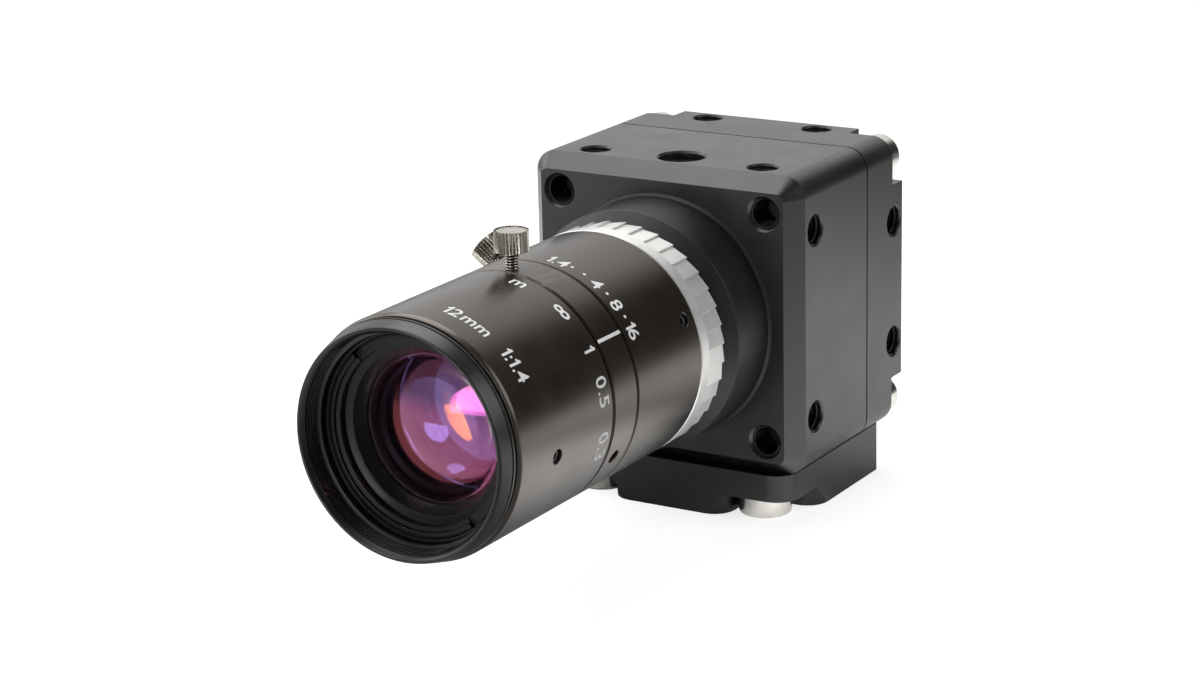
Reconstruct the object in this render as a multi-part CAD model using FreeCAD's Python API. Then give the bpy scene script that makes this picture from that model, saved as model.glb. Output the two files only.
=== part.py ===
"""Industrial vision camera with a manual C-mount lens.

The camera is a 40 mm machined housing on a mounting base. The lens has a fluted bright
mount ring, an iris ring, a fixed index ring and a focus ring, each held by small screws.
The front lens group slides in the barrel when the focus ring turns, and six iris blades
close when the iris ring turns.

Millimetres. +Z is up, +X is to the right seen from in front of the lens's back, and the
lens looks along -Y. The origin is on the optical axis, in the plane of the housing's
front face. Angles round the lens are measured from +Z towards +X.
"""
import FreeCAD, Part
import math
import os

Vector = FreeCAD.Vector

# ---------------------------------------------------------------- driving dimensions
# Fits
running_clearance = 0.05      # radial, between parts that turn or slide on each other
thread_clearance = 0.05       # radial, between a plain shank and its modelled hole
seat_clearance = 0.05         # radial, round an inner part in its bore

# Screws: shank radius, head radius, head height, socket radius and depth
m2_screw = (1.0, 1.9, 1.5, 0.75, 0.8)
m3_screw = (1.5, 2.75, 3.0, 1.25, 1.6)
m4_screw = (2.0, 3.5, 4.0, 1.5, 2.2)

# Housing
body_width = 40.0
body_edge_radius = 3.0
front_depth = 20.0            # front housing, from its face back to the joint
front_bevel_across = 2.0
front_bevel_along = 2.3
front_face_corner = 1.5       # corner radius of the face inside the bevel
front_wall = 7.0
side_wall = 7.0
cavity_corner = 2.5
sensor_pocket_step = 3.0      # each side, where the cavity narrows ahead of the sensor board
gasket_thickness = 0.3
gasket_inset = 0.35           # how far the gasket's edge lies inside the housing's
cover_depth = 7.55            # rear cover, from the gasket to its corner flanges
pad_height = 3.0              # raised middle of the rear cover
pad_relief = 6.5              # from the side to the edge of the raised middle
pad_relief_corner = 2.5
rear_wall = 5.4
body_edge_break = 0.3         # small bevel round the rear of the pad

# Tapped holes in the housing. Insets are from the housing's sides.
m4_tap_radius = 1.65
m4_tap_depth = 3.4
m4_sink_radius = 2.15
tripod_tap_radius = 2.6       # 1/4-20
tripod_sink_radius = 3.2
tripod_depth = 5.2
sink_depth = 0.5
front_hole_inset = 4.8
front_hole_depth = 4.6
front_hole_sink_radius = 2.35
fore_hole_inset = 7.5         # pairs on the top and sides, near the front
fore_hole_y = 5.1
aft_hole_inset = 11.6         # pairs on the top and sides of the rear pad
aft_hole_from_rear = 2.5
left_aft_shift = -0.6         # the left pair stands this much further forward
tripod_hole_y = 6.1
corner_screw_inset = 3.1
corner_screw_engagement = 8.0

# Mounting base
base_inset = 1.8              # each side, from the housing's side
base_front_y = 0.4
base_rear_gap = 0.45          # short of the cover's corner flanges
base_height = 6.7
base_flange_height = 3.65
base_front_corner = 3.3
base_rear_corner = 0.6
base_bottom_round = 0.8
base_screw_rear_gap = 4.0     # rear screws to the back of the front housing
base_screw_engagement = 2.9
base_head_recess = 1.0        # counterbore in the flange over each front screw head
base_head_gap = 0.2           # head to the pocket wall and to the underside
pocket_outer_round = 3.0
pocket_inner_round = 2.8
base_tripod_y = 14.0

# Lens mount on the housing
flange_y = -9.5               # plane where lens and camera meet
flange_to_sensor = 17.526
boss_radius = 15.9
boss_bevel = 1.5
boss_root_radius = 0.5
mount_bore_radius = 12.5
mount_bore_depth = 5.5
mount_spigot_radius = 13.5
mount_spigot_end = 5.5
filter_bore_radius = 10.2
filter_ledge_radius = 9.0
filter_thickness = 1.0
filter_rear_y = -1.0
mount_rear_lip_radius = 5.6
mount_rear_lip = 1.5

# Image sensor and boards
die_depth = 0.13
sensor_margin = 2.0           # package to the pocket's side
sensor_package = 2.7
sensor_rim = 2.5              # package edge to its window
cover_glass_rim = 1.8
cover_glass_thickness = 0.7
seal_rim = 0.4
seal_wall = 1.2
board_margin = 0.3
board_thickness = 1.6
board_hole_inset = 2.1        # from the board's edge
board_spacer_radius = 1.75
board_screw_engagement = 2.6
interface_board_gap = 2.05    # behind the last board
chip_width = 11.0
chip_height = 1.5
connector_width = 12.0
connector_height = 3.5
connector_inset = 3.25        # from the cavity's side to its middle

# Cable socket and status lamp
socket_radius = 6.0           # thread that the cable's plug screws onto
socket_neck_radius = 6.2      # through the cover and the nut
socket_bore_radius = 4.2
socket_flange_radius = 7.4
socket_flange = 1.9
socket_reach = 7.45           # beyond the rear pad
socket_mouth_bevel = 0.4
key_width = 1.2
key_height = 0.45
insert_recess = 1.6
insert_tail = 1.7
nut_flats = 15.0
nut_height = 2.2
contact_radius = 0.35
outer_contact_count = 8
outer_contact_pitch = 3.1     # radius of the ring of contacts
inner_contact_count = 4
inner_contact_pitch = 1.35
contact_recess = 0.5
lamp_x = 4.5
lamp_inset = 3.2              # from the cavity's top
lamp_radius = 1.0
lamp_body_radius = 1.45
lamp_body_height = 1.9
lamp_proud = 0.3

# Lens rings, from the camera forwards. Lengths are along the lens axis.
lens_radius = 15.0
ring_wall = 2.1
barrel_wall = 1.3
shoulder_length = 0.55        # dark shoulder behind the flutes
shoulder_inset = 1.1
mount_ring_length = 5.85
mount_ring_band = 1.8         # plain band ahead of the flutes
mount_thread_radius = 12.45
mount_thread_length = 4.0
mount_ring_lip = 1.4          # seat behind the barrel's tail
flute_count = 39
flute_depth = 0.32
flute_phase = 3.9             # degrees
iris_ring_gap = 0.15
iris_ring_length = 15.55
iris_relief_wall = 1.0
iris_relief_front = 4.0       # from the ring's front edge
iris_relief_length = 7.2
index_ring_gap = 0.25
index_ring_length = 5.35
index_seat_length = 1.55      # the index ring's grip on the barrel
focus_gap = 0.3
focus_ring_length = 20.65
skirt_height = 0.7            # how far the focus ring's skirt stands off the barrel
skirt_length = 3.9
focus_relief_wall = 0.8
focus_relief_rear = 1.4       # from the ring's rear edge
focus_relief_length = 9.7
rim_gap = 0.3
rim_length = 2.55
rim_counterbore = 1.55
rim_thread_wall = 1.7
rim_rear_step = 0.1
rim_taper = 0.75
rim_rounding = 0.5
rim_ledge = 0.5
rim_thread_length = 3.0
filter_mouth_bevel = 0.25
ring_edge_break = 0.2

# Barrel
tail_step = 0.9
barrel_tail_length = 4.9
barrel_front_setback = 8.15   # from the focus ring's front edge
barrel_relief_wall = 0.8
barrel_relief_front = 6.5     # from the barrel's front edge
barrel_relief_length = 11.3

# Sliding front group, lengths from the cell's front edge
cell_setback = 1.15           # from the focus ring's front edge, the other way
cell_head_length = 6.5
cell_length = 22.5
cell_rim_wall = 0.5
cell_counterbore = 2.4
front_bore_wall = 0.15
front_seat = 5.5
second_seat = 11.5
second_step = 1.8
cell_waist_end = 17.4
waist_step = 1.0
third_seat = 18.5
cell_relief_depth = 1.15
cell_relief_start = 14.5
cell_relief_length = 6.3
third_wall = 2.7
stop_step = 0.7
retaining_ring_length = 1.5
retaining_rim = 0.77
retaining_lip = 0.58
retaining_step = 0.5
spanner_slot_width = 1.6
spanner_slot_depth = 0.8
spanner_slot_angle = -40.0    # degrees
baffle_rim = 0.33
baffle_face = 0.86
baffle_skirt = 1.19
baffle_lead = 0.08
baffle_cone = 0.3
guide_pin_radius = 0.75
guide_pin_place = 11.0
guide_slot_length = 2.3

# Glass: edge gap in its bore, then the thickness at the edge and the bulge of each face
glass_gap = 0.1
front_glass_edge = 2.0
front_glass_bulges = (2.1, -1.9)
front_glass_rims = (2.1, 2.8)  # flat rim left round the front and rear faces
second_glass_edge = 2.0
second_glass_bulges = (1.2, 1.2)
second_glass_rims = (0.9, 1.0)
third_glass_edge = 2.5
third_glass_bulges = (-0.8, 0.9)
third_glass_rims = (0.8, 0.8)
rear_glass_edges = (2.5, 2.3)
rear_front_bulges = (0.8, 1.0)
rear_back_bulges = (1.0, 0.7)
rear_glass_rims = (1.0, 1.0)

# Rear group
rear_cell_setback = 2.1       # from the flange
rear_cell_length = 14.9
rear_cell_wall = 2.15
rear_stop_step = 1.05
rear_relief_depth = 1.3
rear_relief_margin = 2.25     # plain length left at each end
rear_front_seat = 4.5         # from the rear cell's front edge
rear_back_seat = 10.0
rear_ring_length = 1.6

# Iris
iris_setback = 4.6            # iris seat to the iris ring's front edge
iris_plate = 1.0
pivot_inset = 2.9             # from the barrel's bore
iris_pivot_pin = 0.4
iris_pivot_hole = 0.45
blade_count = 6
blade_thickness = 0.1
blade_pitch = 0.16            # one layer to the next
blade_stack_gap = 0.24
blade_width = 2.9
blade_pivot_margin = 1.0
blade_start_angle = -8.0      # degrees from the blade's own pivot
blade_end_angle = 95.0
blade_lug_radius = 0.85
blade_stud_radius = 0.35
stud_inset = 1.3
blade_travel = 27.9           # degrees
iris_travel = 48.0            # degrees of the iris ring, closed to open
cam_thickness = 1.0
cam_gap = 0.1                 # round and in front of the cam ring
cam_slot_clearance = 0.1
cam_slot_samples = 9
keeper_width = 1.9
keeper_thickness = 0.7
drive_pin_radius = 0.6
drive_pin_angle = 180.0
drive_pin_sink = 0.6          # into the cam ring
drive_pin_cover = 1.1         # ring left over the pin
drive_slot_margin = 5.0       # degrees past the pin at each end

# Set screws in the lens rings. Each lock screw stands where a third one would be.
grub_radius = 0.85
grub_socket_radius = 0.45
grub_socket_depth = 0.7
grub_recess = 0.45
grub_tip_gap = 0.1
iris_grub_place = 2.22        # from each ring's rear edge
iris_grub_angles = (67.1, 187.1)
index_grub_place = 3.02
index_grub_angles = (117.9, 239.0)
focus_grub_place = 12.46
focus_grub_angles = (98.6, 218.6, 338.6)

# Locking thumbscrews
thumb_stem_radius = 0.7
thumb_head_radius = 2.4
thumb_head_stand = 1.8        # the head's underside above the ring
thumb_head_height = 2.8
thumb_stem_overlap = 0.5
thumb_knurls = 30
thumb_knurl_depth = 0.22
thumb_edge_break = 0.2
thumb_tip_gap = 0.05
focus_thumb_place = 3.55      # from each ring's rear edge
focus_thumb_angle = 0.0
iris_thumb_place = 1.85
iris_thumb_angle = -52.0

# ---------------------------------------------------------------- worked-out places
# Housing and boards
half_width = body_width / 2
cavity_width = body_width - 2 * side_wall
sensor_pocket_width = cavity_width - 2 * sensor_pocket_step
front_hole_spacing = body_width - 2 * front_hole_inset
fore_hole_spacing = body_width - 2 * fore_hole_inset
aft_hole_spacing = body_width - 2 * aft_hole_inset
corner_screw_spacing = body_width - 2 * corner_screw_inset
cover_front_y = front_depth + gasket_thickness
flange_face_y = cover_front_y + cover_depth
pad_y = flange_face_y + pad_height
cover_cavity_y = pad_y - rear_wall
aft_hole_y = pad_y - aft_hole_from_rear
die_y = flange_y + flange_to_sensor
sensor_face_y = die_y - die_depth
sensor_width = sensor_pocket_width - 2 * sensor_margin
sensor_board_y = sensor_face_y + sensor_package
board_width = cavity_width - 2 * board_margin
board_hole_spacing = board_width - 2 * board_hole_inset
interface_rear_y = cover_cavity_y - interface_board_gap
interface_board_y = interface_rear_y - board_thickness
spacer_length = (interface_board_y - sensor_board_y - 2 * board_thickness) / 2
main_board_y = sensor_board_y + board_thickness + spacer_length
board_screw_tip_y = sensor_board_y - board_screw_engagement
connector_z = cavity_width / 2 - connector_inset
lamp_z = cavity_width / 2 - lamp_inset
socket_end_y = pad_y + socket_reach

# Base
base_width = body_width - 2 * base_inset
base_rear_y = flange_face_y - base_rear_gap
base_screw_spacing = fore_hole_spacing
base_screw_rear_y = front_depth - base_screw_rear_gap
base_bottom_z = -half_width - base_height
base_flange_z = -half_width - base_flange_height
pocket_wall_x = base_screw_spacing / 2 - m4_screw[1] - base_head_gap
pocket_wall_y = fore_hole_y + m4_screw[1] + 2 * base_head_gap

# Lens rings along the axis
mount_ring_rear_y = flange_y - shoulder_length
mount_ring_front_y = mount_ring_rear_y - mount_ring_length
iris_ring_rear_y = mount_ring_front_y - iris_ring_gap
iris_ring_front_y = iris_ring_rear_y - iris_ring_length
index_ring_rear_y = iris_ring_front_y - index_ring_gap
index_ring_front_y = index_ring_rear_y - index_ring_length
focus_ring_rear_y = index_ring_front_y - focus_gap
focus_ring_front_y = focus_ring_rear_y - focus_ring_length
rim_rear_y = focus_ring_front_y - rim_gap
rim_front_y = rim_rear_y - rim_length
rim_ledge_y = rim_front_y + rim_thread_length
barrel_front_y = focus_ring_front_y + barrel_front_setback
cell_front_y = focus_ring_front_y + cell_setback
iris_seat_y = iris_ring_front_y + iris_setback
iris_plate_front_y = iris_seat_y - iris_plate
cam_rear_y = iris_plate_front_y - blade_count * blade_pitch - blade_stack_gap
cam_front_y = cam_rear_y - cam_thickness
drive_pin_y = cam_rear_y - cam_thickness / 2
rear_cell_rear_y = flange_y - rear_cell_setback
rear_cell_front_y = rear_cell_rear_y - rear_cell_length
iris_grub_y = iris_ring_rear_y - iris_grub_place
index_grub_y = index_ring_rear_y - index_grub_place
focus_grub_y = focus_ring_rear_y - focus_grub_place
focus_thumb_y = index_ring_rear_y - focus_thumb_place
iris_thumb_y = iris_ring_rear_y - iris_thumb_place

# Lens radii, from the outside in
mount_shoulder_radius = lens_radius - shoulder_inset
rim_counterbore_radius = lens_radius - shoulder_inset
rim_bore_radius = lens_radius - rim_thread_wall
barrel_radius = lens_radius - ring_wall
skirt_radius = barrel_radius + skirt_height
ring_bore_radius = barrel_radius + running_clearance
index_bore_radius = skirt_radius + running_clearance
rim_ledge_radius = barrel_radius - 2 * running_clearance
rim_spigot_bore = barrel_radius + 2 * running_clearance
barrel_bore_radius = barrel_radius - barrel_wall
barrel_tail_radius = barrel_radius - tail_step
rear_bore_radius = barrel_tail_radius - mount_ring_lip
cell_tube_radius = barrel_bore_radius - running_clearance
cell_counterbore_radius = barrel_radius - cell_rim_wall
front_lens_bore = cell_tube_radius - front_bore_wall
second_lens_bore = front_lens_bore - second_step
cell_waist_radius = second_lens_bore - waist_step
cell_relief_radius = cell_tube_radius - cell_relief_depth
third_lens_bore = cell_relief_radius - third_wall
cell_stop_radius = third_lens_bore - stop_step
retaining_step_radius = cell_counterbore_radius - retaining_rim
retaining_lip_radius = retaining_step_radius - retaining_lip
baffle_outer_edge = retaining_step_radius - baffle_rim
baffle_inner_edge = baffle_outer_edge - baffle_face
baffle_lip_radius = baffle_inner_edge - baffle_skirt
rear_cell_radius = rear_bore_radius - seat_clearance
rear_cell_bore = rear_bore_radius - rear_cell_wall
rear_cell_stop = rear_cell_bore - rear_stop_step
iris_pivot_radius = barrel_bore_radius - pivot_inset
blade_outer_radius = iris_pivot_radius - blade_pivot_margin
blade_inner_radius = blade_outer_radius - blade_width
iris_aperture = blade_inner_radius - cam_gap
blade_stud_pitch = barrel_bore_radius - stud_inset
cam_radius = barrel_bore_radius - cam_gap
drive_pin_inner = cam_radius - drive_pin_sink
drive_pin_outer = lens_radius - drive_pin_cover


# ---------------------------------------------------------------- shared shapes
def corner_arc(before, corner, after, radius):
    """Tangent points and the arc that rounds one corner of an outline."""
    a = (before - corner).normalize()
    b = (after - corner).normalize()
    half = math.acos(max(-1.0, min(1.0, a.dot(b)))) / 2
    reach = radius / math.tan(half)
    start = corner + a * reach
    end = corner + b * reach
    centre = corner + (a + b).normalize() * (radius / math.sin(half))
    middle = centre + (corner - centre).normalize() * radius
    return start, end, Part.Arc(start, middle, end).toShape()


def rounded_wire(corners, plane):
    """Closed wire through (u, v, radius) corners. plane turns (u, v) into a point."""
    points = [plane(u, v) for u, v, _ in corners]
    count = len(points)
    joins = []
    for i, (_, _, radius) in enumerate(corners):
        if radius > 0:
            joins.append(corner_arc(points[i - 1], points[i], points[(i + 1) % count], radius))
        else:
            joins.append((points[i], points[i], None))
    edges = []
    for i in range(count):
        _, leave, arc = joins[i]
        arrive = joins[(i + 1) % count][0]
        if arc:
            edges.append(arc)
        if (arrive - leave).Length > 1e-6:
            edges.append(Part.LineSegment(leave, arrive).toShape())
    return Part.Wire(edges)


def slab_y(corners, y_start, y_end):
    """Rounded outline in X and Z, extruded along Y."""
    wire = rounded_wire(corners, lambda x, z: Vector(x, y_start, z))
    return Part.Face(wire).extrude(Vector(0, y_end - y_start, 0))


def slab_z(corners, z_start, z_end):
    """Rounded outline in X and Y, extruded along Z."""
    wire = rounded_wire(corners, lambda x, y: Vector(x, y, z_start))
    return Part.Face(wire).extrude(Vector(0, 0, z_end - z_start))


def square(width, radius):
    half = width / 2
    return [(-half, -half, radius), (half, -half, radius), (half, half, radius), (-half, half, radius)]


def block_y(width_x, width_z, y_start, y_end, x=0.0, z=0.0):
    corner = Vector(x - width_x / 2, y_start, z - width_z / 2)
    return Part.makeBox(width_x, y_end - y_start, width_z, corner)


def turned(profile, sweep=360.0):
    """Solid of revolution about the lens axis. profile holds (y, radius[, rounding])."""
    corners = [(p[0], p[1], p[2] if len(p) > 2 else 0.0) for p in profile]
    wire = rounded_wire(corners, lambda y, r: Vector(0, y, r))
    return Part.Face(wire).revolve(Vector(0, 0, 0), Vector(0, 1, 0), sweep)


def ring_y(outer, inner, y_start, y_end):
    return turned([(y_start, inner), (y_start, outer), (y_end, outer), (y_end, inner)])


def rod_y(radius, y_start, y_end, x=0.0, z=0.0):
    low, high = min(y_start, y_end), max(y_start, y_end)
    return Part.makeCylinder(radius, high - low, Vector(x, low, z), Vector(0, 1, 0))


def rod(radius, start, direction, length):
    return Part.makeCylinder(radius, length, start, direction)


def drilled_hole(radius, sink_radius, depth, mouth, inward):
    """Blind hole with a countersunk mouth, to be cut out of a part."""
    hole = Part.makeCylinder(radius, depth, mouth, inward)
    sink = Part.makeCone(sink_radius, radius, sink_depth, mouth, inward)
    return hole.fuse(sink)


def radial(angle, distance=1.0, y=0.0):
    """Point at an angle round the lens, measured from +Z towards +X."""
    turn = math.radians(angle)
    return Vector(distance * math.sin(turn), y, distance * math.cos(turn))


def spun(shape, angle, centre=Vector(0, 0, 0)):
    """Copy of a shape turned about the lens axis, or about a line along Y."""
    copy = shape.copy()
    copy.rotate(centre, Vector(0, 1, 0), angle)
    return copy


def four_corners(spacing):
    half = spacing / 2
    return [(x, z) for x in (-half, half) for z in (-half, half)]


def hexagon_prism(flats, start, direction, length):
    radius = flats / math.sqrt(3)
    polygon = [Vector(radius * math.cos(math.radians(60 * k)), radius * math.sin(math.radians(60 * k)), 0)
               for k in range(7)]
    solid = Part.Face(Part.makePolygon(polygon)).extrude(Vector(0, 0, length))
    solid.Placement = FreeCAD.Placement(start, FreeCAD.Rotation(Vector(0, 0, 1), direction))
    return solid


def cap_screw(screw, seat, inward, length):
    """Socket head cap screw. The head stands out of the seat, the shank goes inward."""
    shank_radius, head_radius, head_height, socket_radius, socket_depth = screw
    top = seat - inward * head_height
    head = Part.makeCylinder(head_radius, head_height, top, inward)
    bevel = 0.25
    edge = [e for e in head.Edges if abs(e.CenterOfMass.distanceToPoint(top)) < 1e-6 and e.Closed]
    head = head.makeChamfer(bevel, edge)
    shank = Part.makeCylinder(shank_radius, length, seat, inward)
    socket = hexagon_prism(2 * socket_radius, top, inward, socket_depth)
    return head.fuse(shank).cut(socket).removeSplitter()


def dome(apex_y, edge_y, clear):
    """Arc of one glass face, from its apex on the axis to the edge of its clear part."""
    depth = edge_y - apex_y
    curve = (clear ** 2 + depth ** 2) / (2 * depth)
    half_turn = math.asin(clear / abs(curve)) / 2
    middle = Vector(0, apex_y + curve * (1 - math.cos(half_turn)), abs(curve) * math.sin(half_turn))
    return Part.Arc(Vector(0, apex_y, 0), middle, Vector(0, edge_y, clear)).toShape()


def lens_element(bore, front_y, thickness, bulges, rims):
    """Turned glass with a flat rim round each face. A negative bulge is a hollow face."""
    edge = bore - glass_gap
    rear_y = front_y + thickness
    front_apex, rear_apex = front_y - bulges[0], rear_y + bulges[1]
    front_clear, rear_clear = edge - rims[0], edge - rims[1]
    path = [Vector(0, front_y, front_clear), Vector(0, front_y, edge),
            Vector(0, rear_y, edge), Vector(0, rear_y, rear_clear)]
    edges = [dome(front_apex, front_y, front_clear), dome(rear_apex, rear_y, rear_clear),
             Part.LineSegment(Vector(0, rear_apex, 0), Vector(0, front_apex, 0)).toShape()]
    edges += [Part.LineSegment(start, end).toShape() for start, end in zip(path, path[1:])]
    wire = Part.Wire(Part.__sortEdges__(edges))
    return Part.Face(wire).revolve(Vector(0, 0, 0), Vector(0, 1, 0), 360)


# ---------------------------------------------------------------- housing
def fore_and_aft_holes(y, spacing, left_shift=0.0):
    """Pair of tapped holes on the top and on each side at one distance from the front."""
    holes = []
    for offset in (-spacing / 2, spacing / 2):
        for mouth, inward in (
            (Vector(offset, y, half_width), Vector(0, 0, -1)),
            (Vector(half_width, y, offset), Vector(-1, 0, 0)),
            (Vector(-half_width, y + left_shift, offset), Vector(1, 0, 0)),
        ):
            holes.append(drilled_hole(m4_tap_radius, m4_sink_radius, m4_tap_depth, mouth, inward))
    return holes


def base_screw_places():
    return [(side * base_screw_spacing / 2, y) for side in (-1, 1) for y in (fore_hole_y, base_screw_rear_y)]


def front_housing():
    face_width = body_width - 2 * front_bevel_across
    face = rounded_wire(square(face_width, front_face_corner), lambda x, z: Vector(x, 0, z))
    rim = rounded_wire(square(body_width, body_edge_radius), lambda x, z: Vector(x, front_bevel_along, z))
    shape = Part.makeLoft([face, rim], True, True)
    shape = shape.fuse(slab_y(square(body_width, body_edge_radius), front_bevel_along, front_depth))
    cavity = slab_y(square(cavity_width, cavity_corner), sensor_board_y, front_depth)
    pocket = slab_y(square(sensor_pocket_width, cavity_corner), front_wall, sensor_board_y)
    shape = shape.cut([cavity, pocket, rod_y(mount_spigot_radius, 0, front_wall)])

    cuts = fore_and_aft_holes(fore_hole_y, fore_hole_spacing)
    for x, z in four_corners(front_hole_spacing):
        cuts.append(drilled_hole(m4_tap_radius, front_hole_sink_radius, front_hole_depth,
                                 Vector(x, 0, z), Vector(0, 1, 0)))
    cuts.append(drilled_hole(tripod_tap_radius, tripod_sink_radius, tripod_depth,
                             Vector(0, tripod_hole_y, half_width), Vector(0, 0, -1)))
    for x, z in four_corners(corner_screw_spacing):
        cuts.append(rod_y(m3_screw[0] + thread_clearance, front_depth - corner_screw_engagement, front_depth, x, z))
    for x, z in four_corners(board_hole_spacing):
        cuts.append(rod_y(m2_screw[0] + thread_clearance, board_screw_tip_y, sensor_board_y, x, z))
    for x, y in base_screw_places():
        cuts.append(rod(m4_screw[0] + thread_clearance, Vector(x, y, -half_width), Vector(0, 0, 1),
                        base_screw_engagement + base_head_gap / 2))
    return shape.cut(cuts)


def housing_gasket():
    outer = slab_y(square(body_width - 2 * gasket_inset, body_edge_radius - gasket_inset),
                   front_depth, cover_front_y)
    inner = slab_y(square(cavity_width, cavity_corner), front_depth, cover_front_y)
    holes = [rod_y(m3_screw[0] + thread_clearance, front_depth, cover_front_y, x, z)
             for x, z in four_corners(corner_screw_spacing)]
    return outer.cut(inner).cut(holes)


def rear_cover():
    shape = slab_y(square(body_width, body_edge_radius), cover_front_y, pad_y)
    edge = half_width - pad_relief
    far = half_width + body_edge_radius
    for sx in (-1, 1):
        for sz in (-1, 1):
            relief = [(sx * edge, sz * edge, pad_relief_corner), (sx * far, sz * edge, 0.0),
                      (sx * far, sz * far, 0.0), (sx * edge, sz * far, 0.0)]
            shape = shape.cut(slab_y(relief, flange_face_y, pad_y + pad_height))
    rear_edges = [e for e in shape.Edges
                  if abs(e.BoundBox.YMin - pad_y) < 1e-6 and abs(e.BoundBox.YMax - pad_y) < 1e-6]
    shape = shape.makeChamfer(body_edge_break, rear_edges)
    shape = shape.cut(slab_y(square(cavity_width, cavity_corner), cover_front_y, cover_cavity_y))
    cuts = fore_and_aft_holes(aft_hole_y, aft_hole_spacing, left_aft_shift)
    for x, z in four_corners(corner_screw_spacing):
        cuts.append(rod_y(m3_screw[0] + 2 * thread_clearance, cover_front_y, flange_face_y, x, z))
    cuts.append(rod_y(socket_neck_radius + seat_clearance, cover_cavity_y, pad_y))
    cuts.append(rod_y(lamp_radius + seat_clearance, cover_cavity_y, pad_y, lamp_x, lamp_z))
    return shape.cut(cuts)


def rear_cover_screws():
    length = flange_face_y - front_depth + corner_screw_engagement - base_head_gap
    return [cap_screw(m3_screw, Vector(x, flange_face_y, z), Vector(0, -1, 0), length)
            for x, z in four_corners(corner_screw_spacing)]


# ---------------------------------------------------------------- mounting base
def base_foot_outline():
    """Underside outline: a block with a pocket cut round each front screw head."""
    front, rear, half = base_front_y, base_rear_y, base_width / 2
    right = [(pocket_wall_x, front, pocket_outer_round), (pocket_wall_x, pocket_wall_y, pocket_inner_round),
             (half, pocket_wall_y, pocket_outer_round), (half, rear, base_rear_corner)]
    left = [(-x, y, r) for x, y, r in reversed(right)]
    return right + left


def mount_base():
    half, rear = base_width / 2, base_rear_y
    plate = slab_z([(-half, base_front_y, base_front_corner), (half, base_front_y, base_front_corner),
                    (half, rear, base_rear_corner), (-half, rear, base_rear_corner)],
                   base_flange_z, -half_width)
    foot = slab_z(base_foot_outline(), base_bottom_z, base_flange_z)
    low_edges = [e for e in foot.Edges
                 if abs(e.BoundBox.ZMax - base_bottom_z) < 1e-6
                 and abs(abs(e.CenterOfMass.x) - half) < 1e-6]
    foot = foot.makeFillet(base_bottom_round, low_edges)
    shape = plate.fuse(foot).removeSplitter()
    head_seat_z = base_flange_z + base_head_recess
    cuts = []
    for x, y in base_screw_places():
        below = Vector(x, y, base_bottom_z)
        cuts.append(rod(m4_screw[0] + 2 * thread_clearance, below, Vector(0, 0, 1), base_height))
        cuts.append(rod(m4_screw[1] + base_head_gap, below, Vector(0, 0, 1), head_seat_z - base_bottom_z))
    cuts.append(drilled_hole(tripod_tap_radius, tripod_sink_radius, tripod_depth,
                             Vector(0, base_tripod_y, base_bottom_z), Vector(0, 0, 1)))
    return shape.cut(cuts)


def base_screws(y):
    seat_z = base_flange_z + base_head_recess
    length = -half_width - seat_z + base_screw_engagement
    return [cap_screw(m4_screw, Vector(side * base_screw_spacing / 2, y, seat_z), Vector(0, 0, 1), length)
            for side in (-1, 1)]


# ---------------------------------------------------------------- lens mount and filter
def lens_mount():
    outer_face = boss_radius - boss_bevel
    bore_end = flange_y + mount_bore_depth
    boss = turned([
        (flange_y, mount_bore_radius), (flange_y, outer_face), (flange_y + boss_bevel, boss_radius),
        (0, boss_radius), (0, mount_spigot_radius), (mount_spigot_end, mount_spigot_radius),
        (mount_spigot_end, mount_rear_lip_radius),
        (mount_spigot_end - mount_rear_lip, mount_rear_lip_radius),
        (mount_spigot_end - mount_rear_lip, filter_ledge_radius), (filter_rear_y, filter_ledge_radius),
        (filter_rear_y, filter_bore_radius), (bore_end, filter_bore_radius), (bore_end, mount_bore_radius),
    ])
    root = turned([(-boss_root_radius, boss_radius), (0, boss_radius + boss_root_radius), (0, boss_radius)])
    return boss.fuse(root).removeSplitter()


def ir_filter():
    return rod_y(filter_bore_radius - seat_clearance, filter_rear_y - filter_thickness, filter_rear_y)


def filter_retaining_ring():
    return ring_y(filter_bore_radius - seat_clearance, filter_ledge_radius,
                  flange_y + mount_bore_depth + seat_clearance, filter_rear_y - filter_thickness)


# ---------------------------------------------------------------- sensor and boards
def image_sensor():
    package = block_y(sensor_width, sensor_width, sensor_face_y, sensor_board_y)
    window = sensor_width - 2 * sensor_rim
    return package.cut(block_y(window, window * 3 / 4, sensor_face_y, die_y))


def sensor_cover_glass():
    width = sensor_width - 2 * cover_glass_rim
    return block_y(width, width, sensor_face_y - cover_glass_thickness, sensor_face_y)


def sensor_dust_seal():
    width = sensor_width - 2 * seal_rim
    opening = width - 2 * seal_wall
    outer = slab_y(square(width, seal_wall), mount_spigot_end, sensor_face_y)
    return outer.cut(block_y(opening, opening, mount_spigot_end, sensor_face_y))


def board(y_start):
    plate = slab_y(square(board_width, cavity_corner - board_margin), y_start, y_start + board_thickness)
    holes = [rod_y(m2_screw[0] + 2 * thread_clearance, y_start, y_start + board_thickness, x, z)
             for x, z in four_corners(board_hole_spacing)]
    return plate.cut(holes)


def board_spacers(y_start):
    y_end = y_start + spacer_length
    return [rod_y(board_spacer_radius, y_start, y_end, x, z).cut(
                rod_y(m2_screw[0] + thread_clearance, y_start, y_end, x, z))
            for x, z in four_corners(board_hole_spacing)]


def board_screws():
    length = interface_rear_y - board_screw_tip_y
    return [cap_screw(m2_screw, Vector(x, interface_rear_y, z), Vector(0, -1, 0), length)
            for x, z in four_corners(board_hole_spacing)]


def board_connectors():
    front = block_y(connector_width, connector_height, sensor_board_y + board_thickness, main_board_y,
                    0, -connector_z)
    rear = block_y(connector_width, connector_height, main_board_y + board_thickness, interface_board_y,
                   0, connector_z)
    return [front, rear]


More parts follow.
